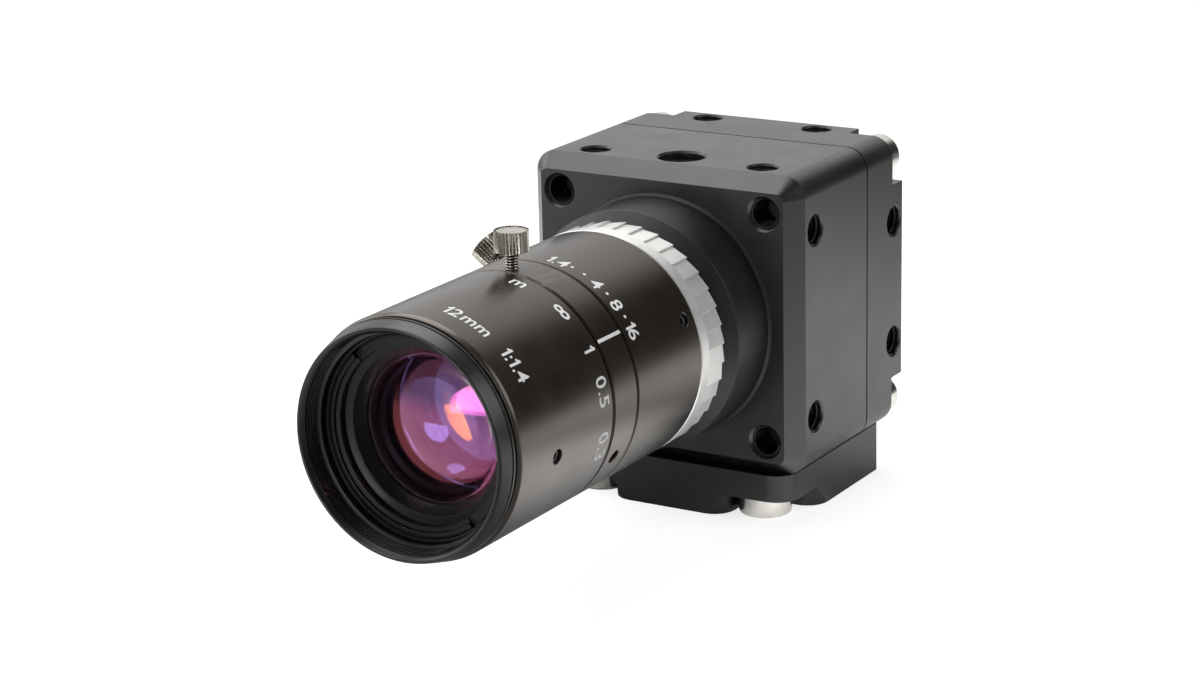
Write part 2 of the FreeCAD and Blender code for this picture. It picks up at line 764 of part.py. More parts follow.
def processor_chip():
    face = main_board_y + board_thickness
    return block_y(chip_width, chip_width, face, face + chip_height)


# ---------------------------------------------------------------- rear socket and lamp
def contact_places():
    rings = ((outer_contact_count, outer_contact_pitch), (inner_contact_count, inner_contact_pitch))
    return [radial(360.0 * k / count, pitch) for count, pitch in rings for k in range(count)]


def cable_socket():
    neck_end = pad_y + nut_height + 0.1
    shell = turned([
        (cover_cavity_y - socket_flange, socket_bore_radius), (cover_cavity_y - socket_flange, socket_flange_radius),
        (cover_cavity_y, socket_flange_radius), (cover_cavity_y, socket_neck_radius),
        (neck_end, socket_neck_radius), (neck_end, socket_radius),
        (socket_end_y - socket_mouth_bevel, socket_radius), (socket_end_y, socket_radius - socket_mouth_bevel),
        (socket_end_y, socket_bore_radius),
    ])
    key = block_y(key_width, 2 * key_height, cover_cavity_y, socket_end_y, 0, socket_bore_radius)
    return shell.fuse(key).removeSplitter()


def socket_insert():
    front = cover_cavity_y - insert_tail
    rear = socket_end_y - insert_recess
    body = rod_y(socket_bore_radius - seat_clearance, front, rear)
    holes = [rod_y(contact_radius + seat_clearance, front, rear, p.x, p.z) for p in contact_places()]
    groove = block_y(key_width + 2 * seat_clearance, 2 * (key_height + seat_clearance), front, rear,
                     0, socket_bore_radius)
    return body.cut(holes).cut(groove)


def socket_contacts():
    rear = socket_end_y - insert_recess - contact_recess
    return [rod_y(contact_radius, interface_rear_y, rear, p.x, p.z) for p in contact_places()]


def socket_nut():
    nut = hexagon_prism(nut_flats, Vector(0, pad_y, 0), Vector(0, 1, 0), nut_height)
    return nut.cut(rod_y(socket_neck_radius + thread_clearance, pad_y, pad_y + nut_height))


def status_led():
    body = rod_y(lamp_body_radius, interface_rear_y, interface_rear_y + lamp_body_height, lamp_x, lamp_z)
    guide = rod_y(lamp_radius, interface_rear_y, pad_y + lamp_proud, lamp_x, lamp_z)
    return body.fuse(guide).removeSplitter()


# ---------------------------------------------------------------- fixed lens parts
def mount_ring():
    """Bright mount ring: plain band, ratchet flutes for grip, flange and thread."""
    band_rear = mount_ring_front_y + mount_ring_band
    thread_end = flange_y + mount_thread_length
    tail_seat = mount_ring_front_y + barrel_tail_length
    core = turned([
        (mount_ring_front_y, barrel_tail_radius), (mount_ring_front_y, lens_radius - ring_edge_break),
        (mount_ring_front_y + ring_edge_break, lens_radius), (band_rear, lens_radius),
        (band_rear, mount_shoulder_radius), (flange_y, mount_shoulder_radius),
        (flange_y, mount_thread_radius), (thread_end, mount_thread_radius), (thread_end, rear_bore_radius),
        (tail_seat, rear_bore_radius), (tail_seat, barrel_tail_radius),
    ])
    step = 360.0 / flute_count
    points = []
    for k in range(flute_count):
        start = flute_phase + k * step
        points.append(radial(start, lens_radius - flute_depth, band_rear))
        points.append(radial(start + step, lens_radius, band_rear))
    points.append(points[0])
    flutes = Part.Face(Part.makePolygon(points)).extrude(Vector(0, mount_ring_rear_y - band_rear, 0))
    flutes = flutes.cut(rod_y(mount_shoulder_radius - flute_depth, mount_ring_front_y, flange_y))
    return core.fuse(flutes).removeSplitter()


def guide_pin_point(distance):
    return radial(90, distance, cell_front_y + guide_pin_place)


def lens_barrel():
    relief_front = barrel_front_y + barrel_relief_front
    relief_rear = relief_front + barrel_relief_length
    relief_radius = barrel_radius - barrel_relief_wall
    tail_end = mount_ring_front_y + barrel_tail_length
    shape = turned([
        (barrel_front_y, barrel_bore_radius), (barrel_front_y, barrel_radius),
        (mount_ring_front_y, barrel_radius), (mount_ring_front_y, barrel_tail_radius),
        (tail_end, barrel_tail_radius), (tail_end, rear_bore_radius),
        (iris_seat_y, rear_bore_radius), (iris_seat_y, barrel_bore_radius),
        (relief_rear, barrel_bore_radius), (relief_rear, relief_radius),
        (relief_front, relief_radius), (relief_front, barrel_bore_radius),
    ])
    width = drive_pin_radius + cam_slot_clearance
    sweep = iris_travel + 2 * drive_slot_margin
    inner, outer = barrel_bore_radius - barrel_wall, barrel_radius + barrel_wall
    slot = turned([(drive_pin_y - width, inner), (drive_pin_y - width, outer),
                   (drive_pin_y + width, outer), (drive_pin_y + width, inner)], sweep)
    slot = spun(slot, drive_pin_angle - drive_slot_margin)
    guide_hole = rod(guide_pin_radius, guide_pin_point(inner), radial(90), outer - inner)
    return shape.cut(slot).cut(guide_hole)


def focus_guide_pin():
    inner = cell_tube_radius - guide_pin_radius
    return rod(guide_pin_radius, guide_pin_point(inner), radial(90), barrel_radius - running_clearance - inner)


def grub_holes(y, angles, inner_radius):
    start = inner_radius - grub_radius
    return [rod(grub_radius, radial(angle, start, y), radial(angle), lens_radius) for angle in angles]


def grub_screws(y, angles, inner_radius):
    """Headless set screws sunk a little below the ring's surface."""
    start = inner_radius + grub_tip_gap
    length = lens_radius - grub_recess - start
    screws = []
    for angle in angles:
        body = rod(grub_radius, radial(angle, start, y), radial(angle), length)
        socket = hexagon_prism(2 * grub_socket_radius, radial(angle, start + length, y), radial(angle) * -1,
                               grub_socket_depth)
        screws.append(body.cut(socket))
    return screws


def thumb_hole(y, angle, inner_radius):
    start = inner_radius - thumb_stem_radius
    return rod(thumb_stem_radius + thread_clearance, radial(angle, start, y), radial(angle), lens_radius)


def thumbscrew(y, angle, inner_radius):
    """Knurled thumbscrew that locks a ring: straight-knurled head on a thin stem."""
    head_start = lens_radius + thumb_head_stand
    tip = inner_radius + thumb_tip_gap
    stem = rod(thumb_stem_radius, radial(angle, tip, y), radial(angle), head_start + thumb_stem_overlap - tip)
    points = []
    for k in range(2 * thumb_knurls):
        turn = math.pi * k / thumb_knurls
        reach = thumb_head_radius - (thumb_knurl_depth if k % 2 else 0.0)
        points.append(Vector(reach * math.cos(turn), reach * math.sin(turn), 0))
    points.append(points[0])
    knurled = Part.Face(Part.makePolygon(points)).extrude(Vector(0, 0, thumb_head_height))
    turned_blank = Part.makeCone(thumb_head_radius + thumb_head_height - thumb_edge_break,
                                 thumb_head_radius - thumb_edge_break, thumb_head_height)
    head = knurled.common(turned_blank)
    head.Placement = FreeCAD.Placement(radial(angle, head_start, y),
                                       FreeCAD.Rotation(Vector(0, 0, 1), radial(angle)))
    return head.fuse(stem).removeSplitter()


def index_ring():
    seat_front = index_ring_rear_y - index_seat_length
    bore = index_bore_radius
    edge = ring_edge_break
    shape = turned([
        (index_ring_front_y, bore), (index_ring_front_y, lens_radius - edge),
        (index_ring_front_y + edge, lens_radius), (index_ring_rear_y - edge, lens_radius),
        (index_ring_rear_y, lens_radius - edge), (index_ring_rear_y, barrel_radius),
        (seat_front, barrel_radius), (seat_front, bore),
    ])
    cuts = grub_holes(index_grub_y, index_grub_angles, bore)
    cuts.append(thumb_hole(focus_thumb_y, focus_thumb_angle, bore))
    return shape.cut(cuts)


# ---------------------------------------------------------------- iris
def iris_ring():
    bore = ring_bore_radius
    edge = ring_edge_break
    relief_front = iris_ring_front_y + iris_relief_front
    relief_rear = relief_front + iris_relief_length
    relief_radius = lens_radius - iris_relief_wall
    shape = turned([
        (iris_ring_front_y, bore), (iris_ring_front_y, lens_radius - edge),
        (iris_ring_front_y + edge, lens_radius), (iris_ring_rear_y - edge, lens_radius),
        (iris_ring_rear_y, lens_radius - edge), (iris_ring_rear_y, bore), (relief_rear, bore),
        (relief_rear, relief_radius), (relief_front, relief_radius), (relief_front, bore),
    ])
    cuts = grub_holes(iris_grub_y, iris_grub_angles, bore)
    cuts.append(thumb_hole(iris_thumb_y, iris_thumb_angle, bore))
    cuts.append(iris_drive_pin())
    return shape.cut(cuts)


def iris_drive_pin():
    return rod(drive_pin_radius, radial(drive_pin_angle, drive_pin_inner, drive_pin_y),
               radial(drive_pin_angle), drive_pin_outer - drive_pin_inner)


def iris_base_plate():
    plate = ring_y(barrel_bore_radius - seat_clearance, iris_aperture, iris_plate_front_y, iris_seat_y)
    pins = []
    for k in range(blade_count):
        place = radial(360.0 * k / blade_count, iris_pivot_radius)
        pins.append(rod_y(iris_pivot_pin, cam_rear_y + cam_gap, iris_seat_y, place.x, place.z))
    return plate.fuse(pins).removeSplitter()


def iris_keeper_ring():
    rear = cam_front_y - cam_gap
    return ring_y(barrel_bore_radius - seat_clearance, cam_radius - keeper_width, rear - keeper_thickness, rear)


def iris_blade(k):
    """Blade k in its closed position, in its own layer on its own pivot pin."""
    rear = iris_plate_front_y - blade_thickness - k * blade_pitch
    front = rear - blade_thickness
    sweep = turned([(front, blade_inner_radius), (front, blade_outer_radius), (rear, blade_outer_radius),
                    (rear, blade_inner_radius)], blade_end_angle - blade_start_angle)
    sweep = spun(sweep, blade_start_angle)
    lug_start, lug_end = blade_outer_radius - blade_lug_radius, blade_stud_pitch
    neck = block_y(2 * blade_lug_radius, lug_end - lug_start, front, rear, 0, (lug_start + lug_end) / 2)
    lug = rod_y(blade_lug_radius, front, rear, 0, blade_stud_pitch)
    stud = rod_y(blade_stud_radius, cam_front_y + seat_clearance, rear, 0, blade_stud_pitch)
    hole = rod_y(iris_pivot_hole, front - blade_pitch, rear + blade_pitch, 0, iris_pivot_radius)
    blade = sweep.fuse([neck, lug]).cut(hole).fuse(stud).removeSplitter()
    closed = spun(blade, blade_travel, Vector(0, 0, iris_pivot_radius))
    return spun(closed, 360.0 * k / blade_count)


def iris_cam_ring():
    """Ring behind the iris ring's pin. Each curved slot leads one blade's stud."""
    ring = ring_y(cam_radius, iris_aperture, cam_front_y, cam_rear_y)
    slot_radius = blade_stud_radius + cam_slot_clearance
    pivot = Vector(0, 0, iris_pivot_radius)
    path = []
    for i in range(cam_slot_samples):
        share = i / (cam_slot_samples - 1)
        stud = Part.Vertex(Vector(0, 0, blade_stud_pitch))
        stud.rotate(pivot, Vector(0, 1, 0), blade_travel * (1 - share))
        stud.rotate(Vector(0, 0, 0), Vector(0, 1, 0), -iris_travel * share)
        path.append(stud.Point)
    cuts = []
    for k in range(blade_count):
        for i, point in enumerate(path):
            here = Part.Vertex(point)
            here.rotate(Vector(0, 0, 0), Vector(0, 1, 0), 360.0 * k / blade_count)
            spot = here.Point
            cuts.append(rod_y(slot_radius, cam_front_y - cam_gap, cam_rear_y + cam_gap, spot.x, spot.z))
            if i:
                along = spot - last_spot
                side = Vector(along.z, 0, -along.x).normalize() * slot_radius
                corners = [last_spot + side, spot + side, spot - side, last_spot - side, last_spot + side]
                face = Part.Face(Part.makePolygon([Vector(c.x, cam_front_y - cam_gap, c.z) for c in corners]))
                cuts.append(face.extrude(Vector(0, cam_thickness + 2 * cam_gap, 0)))
            last_spot = spot
    cuts.append(iris_drive_pin())
    return ring.cut(cuts)


# ---------------------------------------------------------------- focus ring and front rim
def focus_ring():
    bore = ring_bore_radius
    edge = ring_edge_break
    skirt_end = focus_ring_rear_y + skirt_length
    relief_rear = focus_ring_rear_y - focus_relief_rear
    relief_front = relief_rear - focus_relief_length
    relief_radius = lens_radius - focus_relief_wall
    shape = turned([
        (focus_ring_front_y, rim_counterbore_radius), (focus_ring_front_y, lens_radius - edge),
        (focus_ring_front_y + edge, lens_radius), (focus_ring_rear_y - edge, lens_radius),
        (focus_ring_rear_y, lens_radius - edge), (focus_ring_rear_y, skirt_radius),
        (skirt_end, skirt_radius), (skirt_end, bore), (relief_rear, bore),
        (relief_rear, relief_radius), (relief_front, relief_radius), (relief_front, bore),
        (focus_ring_front_y + rim_counterbore, bore), (focus_ring_front_y + rim_counterbore, rim_counterbore_radius),
    ])
    return shape.cut(grub_holes(focus_grub_y, focus_grub_angles, bore))


def front_rim():
    """Front rim with the filter thread. It screws into the focus ring."""
    ledge_rear = rim_ledge_y + rim_ledge
    spigot_end = focus_ring_front_y + rim_counterbore - seat_clearance
    spigot_radius = rim_counterbore_radius - seat_clearance
    return turned([
        (rim_rear_y, lens_radius - rim_rear_step), (rim_rear_y, spigot_radius), (spigot_end, spigot_radius),
        (spigot_end, rim_spigot_bore), (ledge_rear, rim_spigot_bore), (ledge_rear, rim_ledge_radius),
        (rim_ledge_y, rim_ledge_radius), (rim_ledge_y, rim_bore_radius),
        (rim_front_y + filter_mouth_bevel, rim_bore_radius), (rim_front_y, rim_bore_radius + filter_mouth_bevel),
        (rim_front_y, lens_radius - rim_rear_step - rim_taper, rim_rounding),
    ])


# ---------------------------------------------------------------- sliding front group
def along_cell(distance):
    return cell_front_y + distance


def lens_cell():
    relief_front = along_cell(cell_relief_start)
    relief_rear = relief_front + cell_relief_length
    head_rear, tube_end = along_cell(cell_head_length), along_cell(cell_length)
    counterbore, first = along_cell(cell_counterbore), along_cell(front_seat)
    second, third = along_cell(second_seat), along_cell(third_seat)
    waist_end = along_cell(cell_waist_end)
    shape = turned([
        (cell_front_y, cell_counterbore_radius), (cell_front_y, barrel_radius), (head_rear, barrel_radius),
        (head_rear, cell_tube_radius), (relief_front, cell_tube_radius), (relief_front, cell_relief_radius),
        (relief_rear, cell_relief_radius), (relief_rear, cell_tube_radius), (tube_end, cell_tube_radius),
        (tube_end, third_lens_bore), (third, third_lens_bore), (third, cell_stop_radius),
        (waist_end, cell_stop_radius), (waist_end, cell_waist_radius), (second, cell_waist_radius),
        (second, second_lens_bore), (first, second_lens_bore), (first, front_lens_bore),
        (counterbore, front_lens_bore), (counterbore, cell_counterbore_radius),
    ])
    width = guide_pin_radius + running_clearance
    slot_front = along_cell(guide_pin_place) - guide_slot_length / 2
    corner = Vector(cell_tube_radius - 2 * guide_pin_radius, slot_front, -width)
    slot = Part.makeBox(3 * guide_pin_radius, guide_slot_length, 2 * width, corner)
    return shape.cut(slot)


def front_retaining_ring():
    outer = cell_counterbore_radius - seat_clearance
    rear, step = along_cell(retaining_ring_length), along_cell(retaining_step)
    shape = turned([
        (cell_front_y, retaining_step_radius), (cell_front_y, outer), (rear, outer),
        (rear, retaining_lip_radius), (step, retaining_lip_radius), (step, retaining_step_radius),
    ])
    slots = Part.makeBox(spanner_slot_width, spanner_slot_depth, 4 * outer,
                         Vector(-spanner_slot_width / 2, cell_front_y, -2 * outer))
    return shape.cut(spun(slots, spanner_slot_angle))


def front_baffle():
    outer = cell_counterbore_radius - seat_clearance
    skirt = front_lens_bore - seat_clearance
    front, counterbore = along_cell(retaining_ring_length), along_cell(cell_counterbore)
    rear = along_cell(front_seat) - front_glass_edge
    cone_start = front + baffle_lead
    cone_end = cone_start + baffle_cone
    return turned([
        (front, baffle_outer_edge), (front, outer), (counterbore, outer), (counterbore, skirt),
        (rear, skirt), (rear, baffle_lip_radius), (rear - baffle_cone / 2, baffle_lip_radius),
        (cone_end, baffle_inner_edge - baffle_cone), (cone_end, baffle_inner_edge), (cone_start, baffle_outer_edge),
    ])


def front_lens():
    front = along_cell(front_seat) - front_glass_edge
    return lens_element(front_lens_bore, front, front_glass_edge, front_glass_bulges, front_glass_rims)


def lens_spacer():
    front, rear = along_cell(front_seat), along_cell(second_seat) - second_glass_edge
    return ring_y(second_lens_bore - seat_clearance, cell_waist_radius + glass_gap, front, rear)


def second_lens():
    front = along_cell(second_seat) - second_glass_edge
    return lens_element(second_lens_bore, front, second_glass_edge, second_glass_bulges, second_glass_rims)


def third_lens():
    front = along_cell(third_seat)
    return lens_element(third_lens_bore, front, third_glass_edge, third_glass_bulges, third_glass_rims)


# ---------------------------------------------------------------- rear group
def along_rear_cell(distance):
    return rear_cell_front_y + distance


def rear_cell():
    outer = rear_cell_radius
    relief_radius = rear_bore_radius - rear_relief_depth
    relief_front, relief_rear = rear_cell_front_y + rear_relief_margin, rear_cell_rear_y - rear_relief_margin
    front_seat_y, back_seat_y = along_rear_cell(rear_front_seat), along_rear_cell(rear_back_seat)
    return turned([
        (rear_cell_front_y, rear_cell_bore), (rear_cell_front_y, outer), (relief_front, outer),
        (relief_front, relief_radius), (relief_rear, relief_radius), (relief_rear, outer),
        (rear_cell_rear_y, outer), (rear_cell_rear_y, rear_cell_bore), (back_seat_y, rear_cell_bore),
        (back_seat_y, rear_cell_stop), (front_seat_y, rear_cell_stop), (front_seat_y, rear_cell_bore),
    ])


def rear_lens_front():
    thickness = rear_glass_edges[0]
    front = along_rear_cell(rear_front_seat) - thickness
    return lens_element(rear_cell_bore, front, thickness, rear_front_bulges, rear_glass_rims)


def rear_lens_back():
    return lens_element(rear_cell_bore, along_rear_cell(rear_back_seat), rear_glass_edges[1],
                        rear_back_bulges, rear_glass_rims)


def rear_retaining_ring():
    start = along_rear_cell(rear_back_seat) + rear_glass_edges[1]
    return ring_y(rear_cell_bore - seat_clearance, rear_cell_stop, start, start + rear_ring_length)


# ---------------------------------------------------------------- assembly
def build():
    nodes = {
        "front_housing": front_housing(),
        "housing_gasket": housing_gasket(),
        "rear_cover": rear_cover(),
        "rear_cover_screws": rear_cover_screws(),
        "mount_base": mount_base(),
        "base_screws_front": base_screws(fore_hole_y),
        "base_screws_rear": base_screws(base_screw_rear_y),
        "lens_mount": lens_mount(),
        "ir_filter": ir_filter(),
        "filter_retaining_ring": filter_retaining_ring(),
        "sensor_dust_seal": sensor_dust_seal(),
        "sensor_cover_glass": sensor_cover_glass(),
        "image_sensor": image_sensor(),
        "sensor_board": board(sensor_board_y),
        "main_board": board(main_board_y),
        "interface_board": board(interface_board_y),
        "board_spacers_front": board_spacers(sensor_board_y + board_thickness),
        "board_spacers_rear": board_spacers(main_board_y + board_thickness),
        "board_screws": board_screws(),
        "board_connectors": board_connectors(),
        "processor_chip": processor_chip(),
        "cable_socket": cable_socket(),
        "socket_insert": socket_insert(),
        "socket_contacts": socket_contacts(),
        "socket_nut": socket_nut(),
        "status_led": status_led(),
        "mount_ring": mount_ring(),
        "lens_barrel": lens_barrel(),
        "focus_guide_pin": focus_guide_pin(),
        "index_ring": index_ring(),
        "index_grub_screws": grub_screws(index_grub_y, index_grub_angles, index_bore_radius),
        "focus_lock_screw": thumbscrew(focus_thumb_y, focus_thumb_angle, skirt_radius),
        "iris_ring": iris_ring(),
        "iris_grub_screws": grub_screws(iris_grub_y, iris_grub_angles, ring_bore_radius),
        "iris_lock_screw": thumbscrew(iris_thumb_y, iris_thumb_angle, barrel_radius),
        "iris_drive_pin": iris_drive_pin(),
        "iris_cam_ring": iris_cam_ring(),
        "iris_base_plate": iris_base_plate(),
        "iris_keeper_ring": iris_keeper_ring(),
        "focus_ring": focus_ring(),
        "focus_grub_screws": grub_screws(focus_grub_y, focus_grub_angles, ring_bore_radius),
        "front_rim": front_rim(),
        "lens_cell": lens_cell(),
        "front_retaining_ring": front_retaining_ring(),
        "front_baffle": front_baffle(),
        "front_lens": front_lens(),
        "lens_spacer": lens_spacer(),
        "second_lens": second_lens(),
        "third_lens": third_lens(),
        "rear_cell": rear_cell(),
        "rear_lens_front": rear_lens_front(),
        "rear_lens_back": rear_lens_back(),
        "rear_retaining_ring": rear_retaining_ring(),
    }
    for k in range(blade_count):
        nodes["iris_blade_%d" % (k + 1)] = iris_blade(k)
    return nodes


def export(nodes):
    os.makedirs("parts", exist_ok=True)
    for name, shape in nodes.items():
        if isinstance(shape, list):
            shape = Part.makeCompound(shape)
        bodies = shape.Solids
        valid = all(body.isValid() for body in bodies)
        result = bodies[0] if len(bodies) == 1 else Part.makeCompound(bodies)
        result.exportStep("parts/%s.step" % name)
        box = result.BoundBox
        print("%-24s solids %2d  valid %s  volume %9.2f  y %7.2f..%6.2f"
              % (name, len(bodies), valid, sum(b.Volume for b in bodies), box.YMin, box.YMax))


export(build())
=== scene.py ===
import math
import bpy
from mathutils import Matrix, Vector


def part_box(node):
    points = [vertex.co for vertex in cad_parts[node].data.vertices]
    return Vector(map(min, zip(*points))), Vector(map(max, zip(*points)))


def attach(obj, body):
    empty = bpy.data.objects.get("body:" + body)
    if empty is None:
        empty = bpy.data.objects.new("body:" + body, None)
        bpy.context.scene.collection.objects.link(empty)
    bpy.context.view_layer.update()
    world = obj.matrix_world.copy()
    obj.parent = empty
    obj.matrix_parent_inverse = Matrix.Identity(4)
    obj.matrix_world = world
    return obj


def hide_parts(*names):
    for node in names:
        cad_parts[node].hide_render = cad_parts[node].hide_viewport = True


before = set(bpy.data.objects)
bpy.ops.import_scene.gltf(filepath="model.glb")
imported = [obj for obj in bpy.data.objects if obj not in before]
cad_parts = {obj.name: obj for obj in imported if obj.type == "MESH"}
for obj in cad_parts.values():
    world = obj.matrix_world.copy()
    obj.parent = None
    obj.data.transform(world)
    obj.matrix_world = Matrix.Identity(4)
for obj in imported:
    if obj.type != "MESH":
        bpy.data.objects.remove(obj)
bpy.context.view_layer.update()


# Camera: a long lens in front of the part, a little to its right and above it. It is aimed by its
# heading round the vertical, its tilt up from straight down, and a slight roll.
camera_data = bpy.data.cameras.new("studio_camera")
camera_data.lens = 90.0
camera_data.sensor_width = 36.0
camera_data.shift_x = -0.0024
camera_data.shift_y = 0.0123
camera_data.clip_start = 0.01
camera = bpy.data.objects.new("studio_camera", camera_data)
bpy.context.scene.collection.objects.link(camera)
camera_place = (0.1891, -0.3267, 0.1079)
camera_heading = Matrix.Rotation(math.radians(31.24), 4, "Z")
camera_tilt = Matrix.Rotation(math.radians(73.37), 4, "X")
camera_roll = Matrix.Rotation(math.radians(-1.35), 4, "Z")
camera.matrix_world = Matrix.Translation(camera_place) @ (camera_heading @ camera_tilt @ camera_roll)
bpy.context.scene.camera = camera
bpy.context.scene.view_settings.view_transform = "Standard"


# Studio floor and backdrop: paper that looks plain white to the camera and keeps a soft shadow. In the
# part's reflections it glows in bright patches in front of the part, on its right and behind it, and is dark
# elsewhere: painted light that only gloss sees.
floor_size = 8.0
floor_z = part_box("mount_base")[0].z
bpy.ops.object.select_all(action="DESELECT")
bpy.ops.mesh.primitive_plane_add(size=floor_size, location=(0, 0, floor_z))
studio_floor = bpy.context.object
studio_floor.name = "studio_floor"
bpy.ops.object.transform_apply(location=True, rotation=True, scale=True)


def math_node(tree, operation, *values):
    """Math node fed by numbers or sockets. Gives back its output socket."""
    node = tree.nodes.new("ShaderNodeMath")
    node.operation = operation
    for socket, value in zip(node.inputs, values):
        if isinstance(value, (int, float)):
            socket.default_value = value
        else:
            tree.links.new(value, socket)
    return node.outputs[0]


def level_along(tree, coordinate, stops):
    """Grey level that changes along one axis between stops of (place, level). Places go from -1 to 1."""
    ramp = tree.nodes.new("ShaderNodeValToRGB")
    ramp.color_ramp.interpolation = "EASE"
    elements = ramp.color_ramp.elements
    while len(elements) > 1:
        elements.remove(elements[-1])
    for count, (place, level) in enumerate(stops):
        position = place / 2 + 0.5
        element = elements[0] if count == 0 else elements.new(position)
        element.position = position
        element.color = (level, level, level, 1)
    tree.links.new(math_node(tree, "MULTIPLY_ADD", coordinate, 0.5, 0.5), ramp.inputs["Fac"])
    return ramp.outputs["Color"]


def patch(tree, x, x_stops, y, y_stops):
    """Product of a level along one axis and a level along another."""
    return math_node(tree, "MULTIPLY", level_along(tree, x, x_stops), level_along(tree, y, y_stops))


def straight_view(tree, path):
    """One for what the camera sees, directly or through glass, and nothing for light and gloss."""
    return math_node(tree, "MAXIMUM", path.outputs["Is Camera Ray"], path.outputs["Is Transmission Ray"])


paper = bpy.data.materials.new("studio_paper")
paper.use_nodes = True
sheet = paper.node_tree
sheet.nodes.clear()
paper_out = sheet.nodes.new("ShaderNodeOutputMaterial")
paper_sum = sheet.nodes.new("ShaderNodeAddShader")
paper_diffuse = sheet.nodes.new("ShaderNodeBsdfDiffuse")
paper_glow = sheet.nodes.new("ShaderNodeEmission")
paper_path = sheet.nodes.new("ShaderNodeLightPath")
paper_split = sheet.nodes.new("ShaderNodeSeparateXYZ")
sheet.links.new(sheet.nodes.new("ShaderNodeTexCoord").outputs["Object"], paper_split.inputs[0])
paper_x, paper_y = paper_split.outputs["X"], paper_split.outputs["Y"]

# The tone is the paper's colour under the lamps, painted darker in front of the part and far behind it to
# dim the part's reflections there, and the glow that the camera sees adds to it.
tone = level_along(sheet, paper_y, [(-0.06, 0.28), (0.03, 0.60), (0.10, 0.60), (0.20, 0.15)])
seen_level = level_along(sheet, paper_y, [(-0.06, 0.88), (0.03, 0.70), (0.10, 0.70), (0.20, 1.0)])
# Patches of glow that only gloss sees: painted light in the part's reflections.
front_patch = patch(sheet, paper_x, [(0.0, 1.0), (0.04, 0.05)],
                    paper_y, [(-0.40, 0.2), (-0.12, 0.75), (-0.08, 0.9), (-0.05, 0.0)])
right_patch = patch(sheet, paper_x, [(0.0, 0.0), (0.03, 1.6)],
                    paper_y, [(-0.05, 0.0), (-0.025, 1.0), (0.0, 1.0), (0.02, 0.0)])
back_patch = level_along(sheet, paper_y, [(0.01, 0.0), (0.05, 0.75), (0.10, 0.75), (0.20, 0.08)])
gloss_level = math_node(sheet, "ADD", math_node(sheet, "ADD", front_patch, right_patch), back_patch)
seen_glow = math_node(sheet, "MULTIPLY", seen_level, straight_view(sheet, paper_path))
glow = math_node(sheet, "MULTIPLY_ADD", gloss_level, paper_path.outputs["Is Glossy Ray"], seen_glow)
sheet.links.new(tone, paper_diffuse.inputs["Color"])
sheet.links.new(glow, paper_glow.inputs["Strength"])
sheet.links.new(paper_diffuse.outputs[0], paper_sum.inputs[0])
sheet.links.new(paper_glow.outputs[0], paper_sum.inputs[1])
sheet.links.new(paper_sum.outputs[0], paper_out.inputs["Surface"])
studio_floor.data.materials.append(paper)


# Studio room: even light from all round, and plain white to the camera and through glass. In gloss it
# is bright behind the part and on its left, and dark on its right and towards the camera.
room_light = 0.28
room_seen_extra = 0.72        # makes it plain white
room_gloss_drop = -0.25       # takes most of the even light back out of the gloss
world = bpy.data.worlds.new("studio_world")
bpy.context.scene.world = world
world.use_nodes = True
room = world.node_tree
room_back = room.nodes["Background"]
room_back.inputs["Color"].default_value = (1, 1, 1, 1)
room_path = room.nodes.new("ShaderNodeLightPath")
room_split = room.nodes.new("ShaderNodeSeparateXYZ")
room.links.new(room.nodes.new("ShaderNodeTexCoord").outputs["Generated"], room_split.inputs[0])
room_gloss = patch(room, room_split.outputs["Y"], [(-0.75, 0.0), (-0.15, 1.0)],
                   room_split.outputs["X"], [(-0.02, 1.0), (0.30, 0.0)])
room_gloss = math_node(room, "ADD", room_gloss, room_gloss_drop)
room_even = math_node(room, "MULTIPLY_ADD", straight_view(room, room_path), room_seen_extra, room_light)
room_level = math_node(room, "MULTIPLY_ADD", room_gloss, room_path.outputs["Is Glossy Ray"], room_even)
room.links.new(room_level, room_back.inputs["Strength"])


# Studio lamps: large soft boxes over the part and on each side of it, and two smaller ones in front
# that the lens's glass reflects.
def soft_box(name, place, aim, width, height, power):
    """Oval lamp at a place, turned to its aim. Lengths are in metres and the power in watts."""
    lamp = bpy.data.lights.new(name, "AREA")
    lamp.shape = "ELLIPSE"
    lamp.size = width
    lamp.size_y = height
    lamp.energy = power
    holder = bpy.data.objects.new(name, lamp)
    bpy.context.scene.collection.objects.link(holder)
    holder.location = place
    holder.rotation_euler = (Vector(aim) - Vector(place)).to_track_quat("-Z", "Y").to_euler()


mount_aim, lens_aim, glass_aim = (0, -0.01, 0), (0, -0.02, 0), (0, -0.06, 0)
soft_box("top_box", (-0.20, 0.10, 0.60), mount_aim, 0.60, 0.60, 2.6)
soft_box("right_box", (0.60, 0.10, 0.35), mount_aim, 0.50, 0.50, 1.6)
soft_box("left_box", (-0.60, -0.10, 0.30), lens_aim, 0.50, 0.40, 1.2)
soft_box("front_box", (0.00, -0.62, 0.02), glass_aim, 0.27, 0.23, 1.7)
soft_box("front_top_box", (-0.20, -0.45, 0.40), glass_aim, 0.24, 0.20, 0.8)


# Front housing: a block of aluminium, milled and black anodised. Its front edge is bevelled, and it
# has tapped holes in its front corners and near the front of its top and sides, and one for a tripod.
mm = 0.001
up, down, forward, backward = (0, 0, 1), (0, 0, -1), (0, -1, 0), (0, 1, 0)
nearly = 0.9                  # how closely a face or an edge that is picked keeps to its direction
overrun = 1.0                 # how far a cutter runs past a flat face
proud = 0.6                   # how far the cutter of a round hole stands out of its mouth


def corners(node):
    """Lowest and highest corner of a CAD node, in millimetres."""
    return [tuple(round(value / mm, 3) for value in corner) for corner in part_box(node)]


def only(*objects):
    """Select these objects and nothing else. The first is the active one."""
    if bpy.context.object and bpy.context.object.mode != "OBJECT":
        bpy.ops.object.mode_set(mode="OBJECT")
    bpy.ops.object.select_all(action="DESELECT")
    for item in objects:
        item.select_set(True)
    bpy.context.view_layer.objects.active = objects[0]


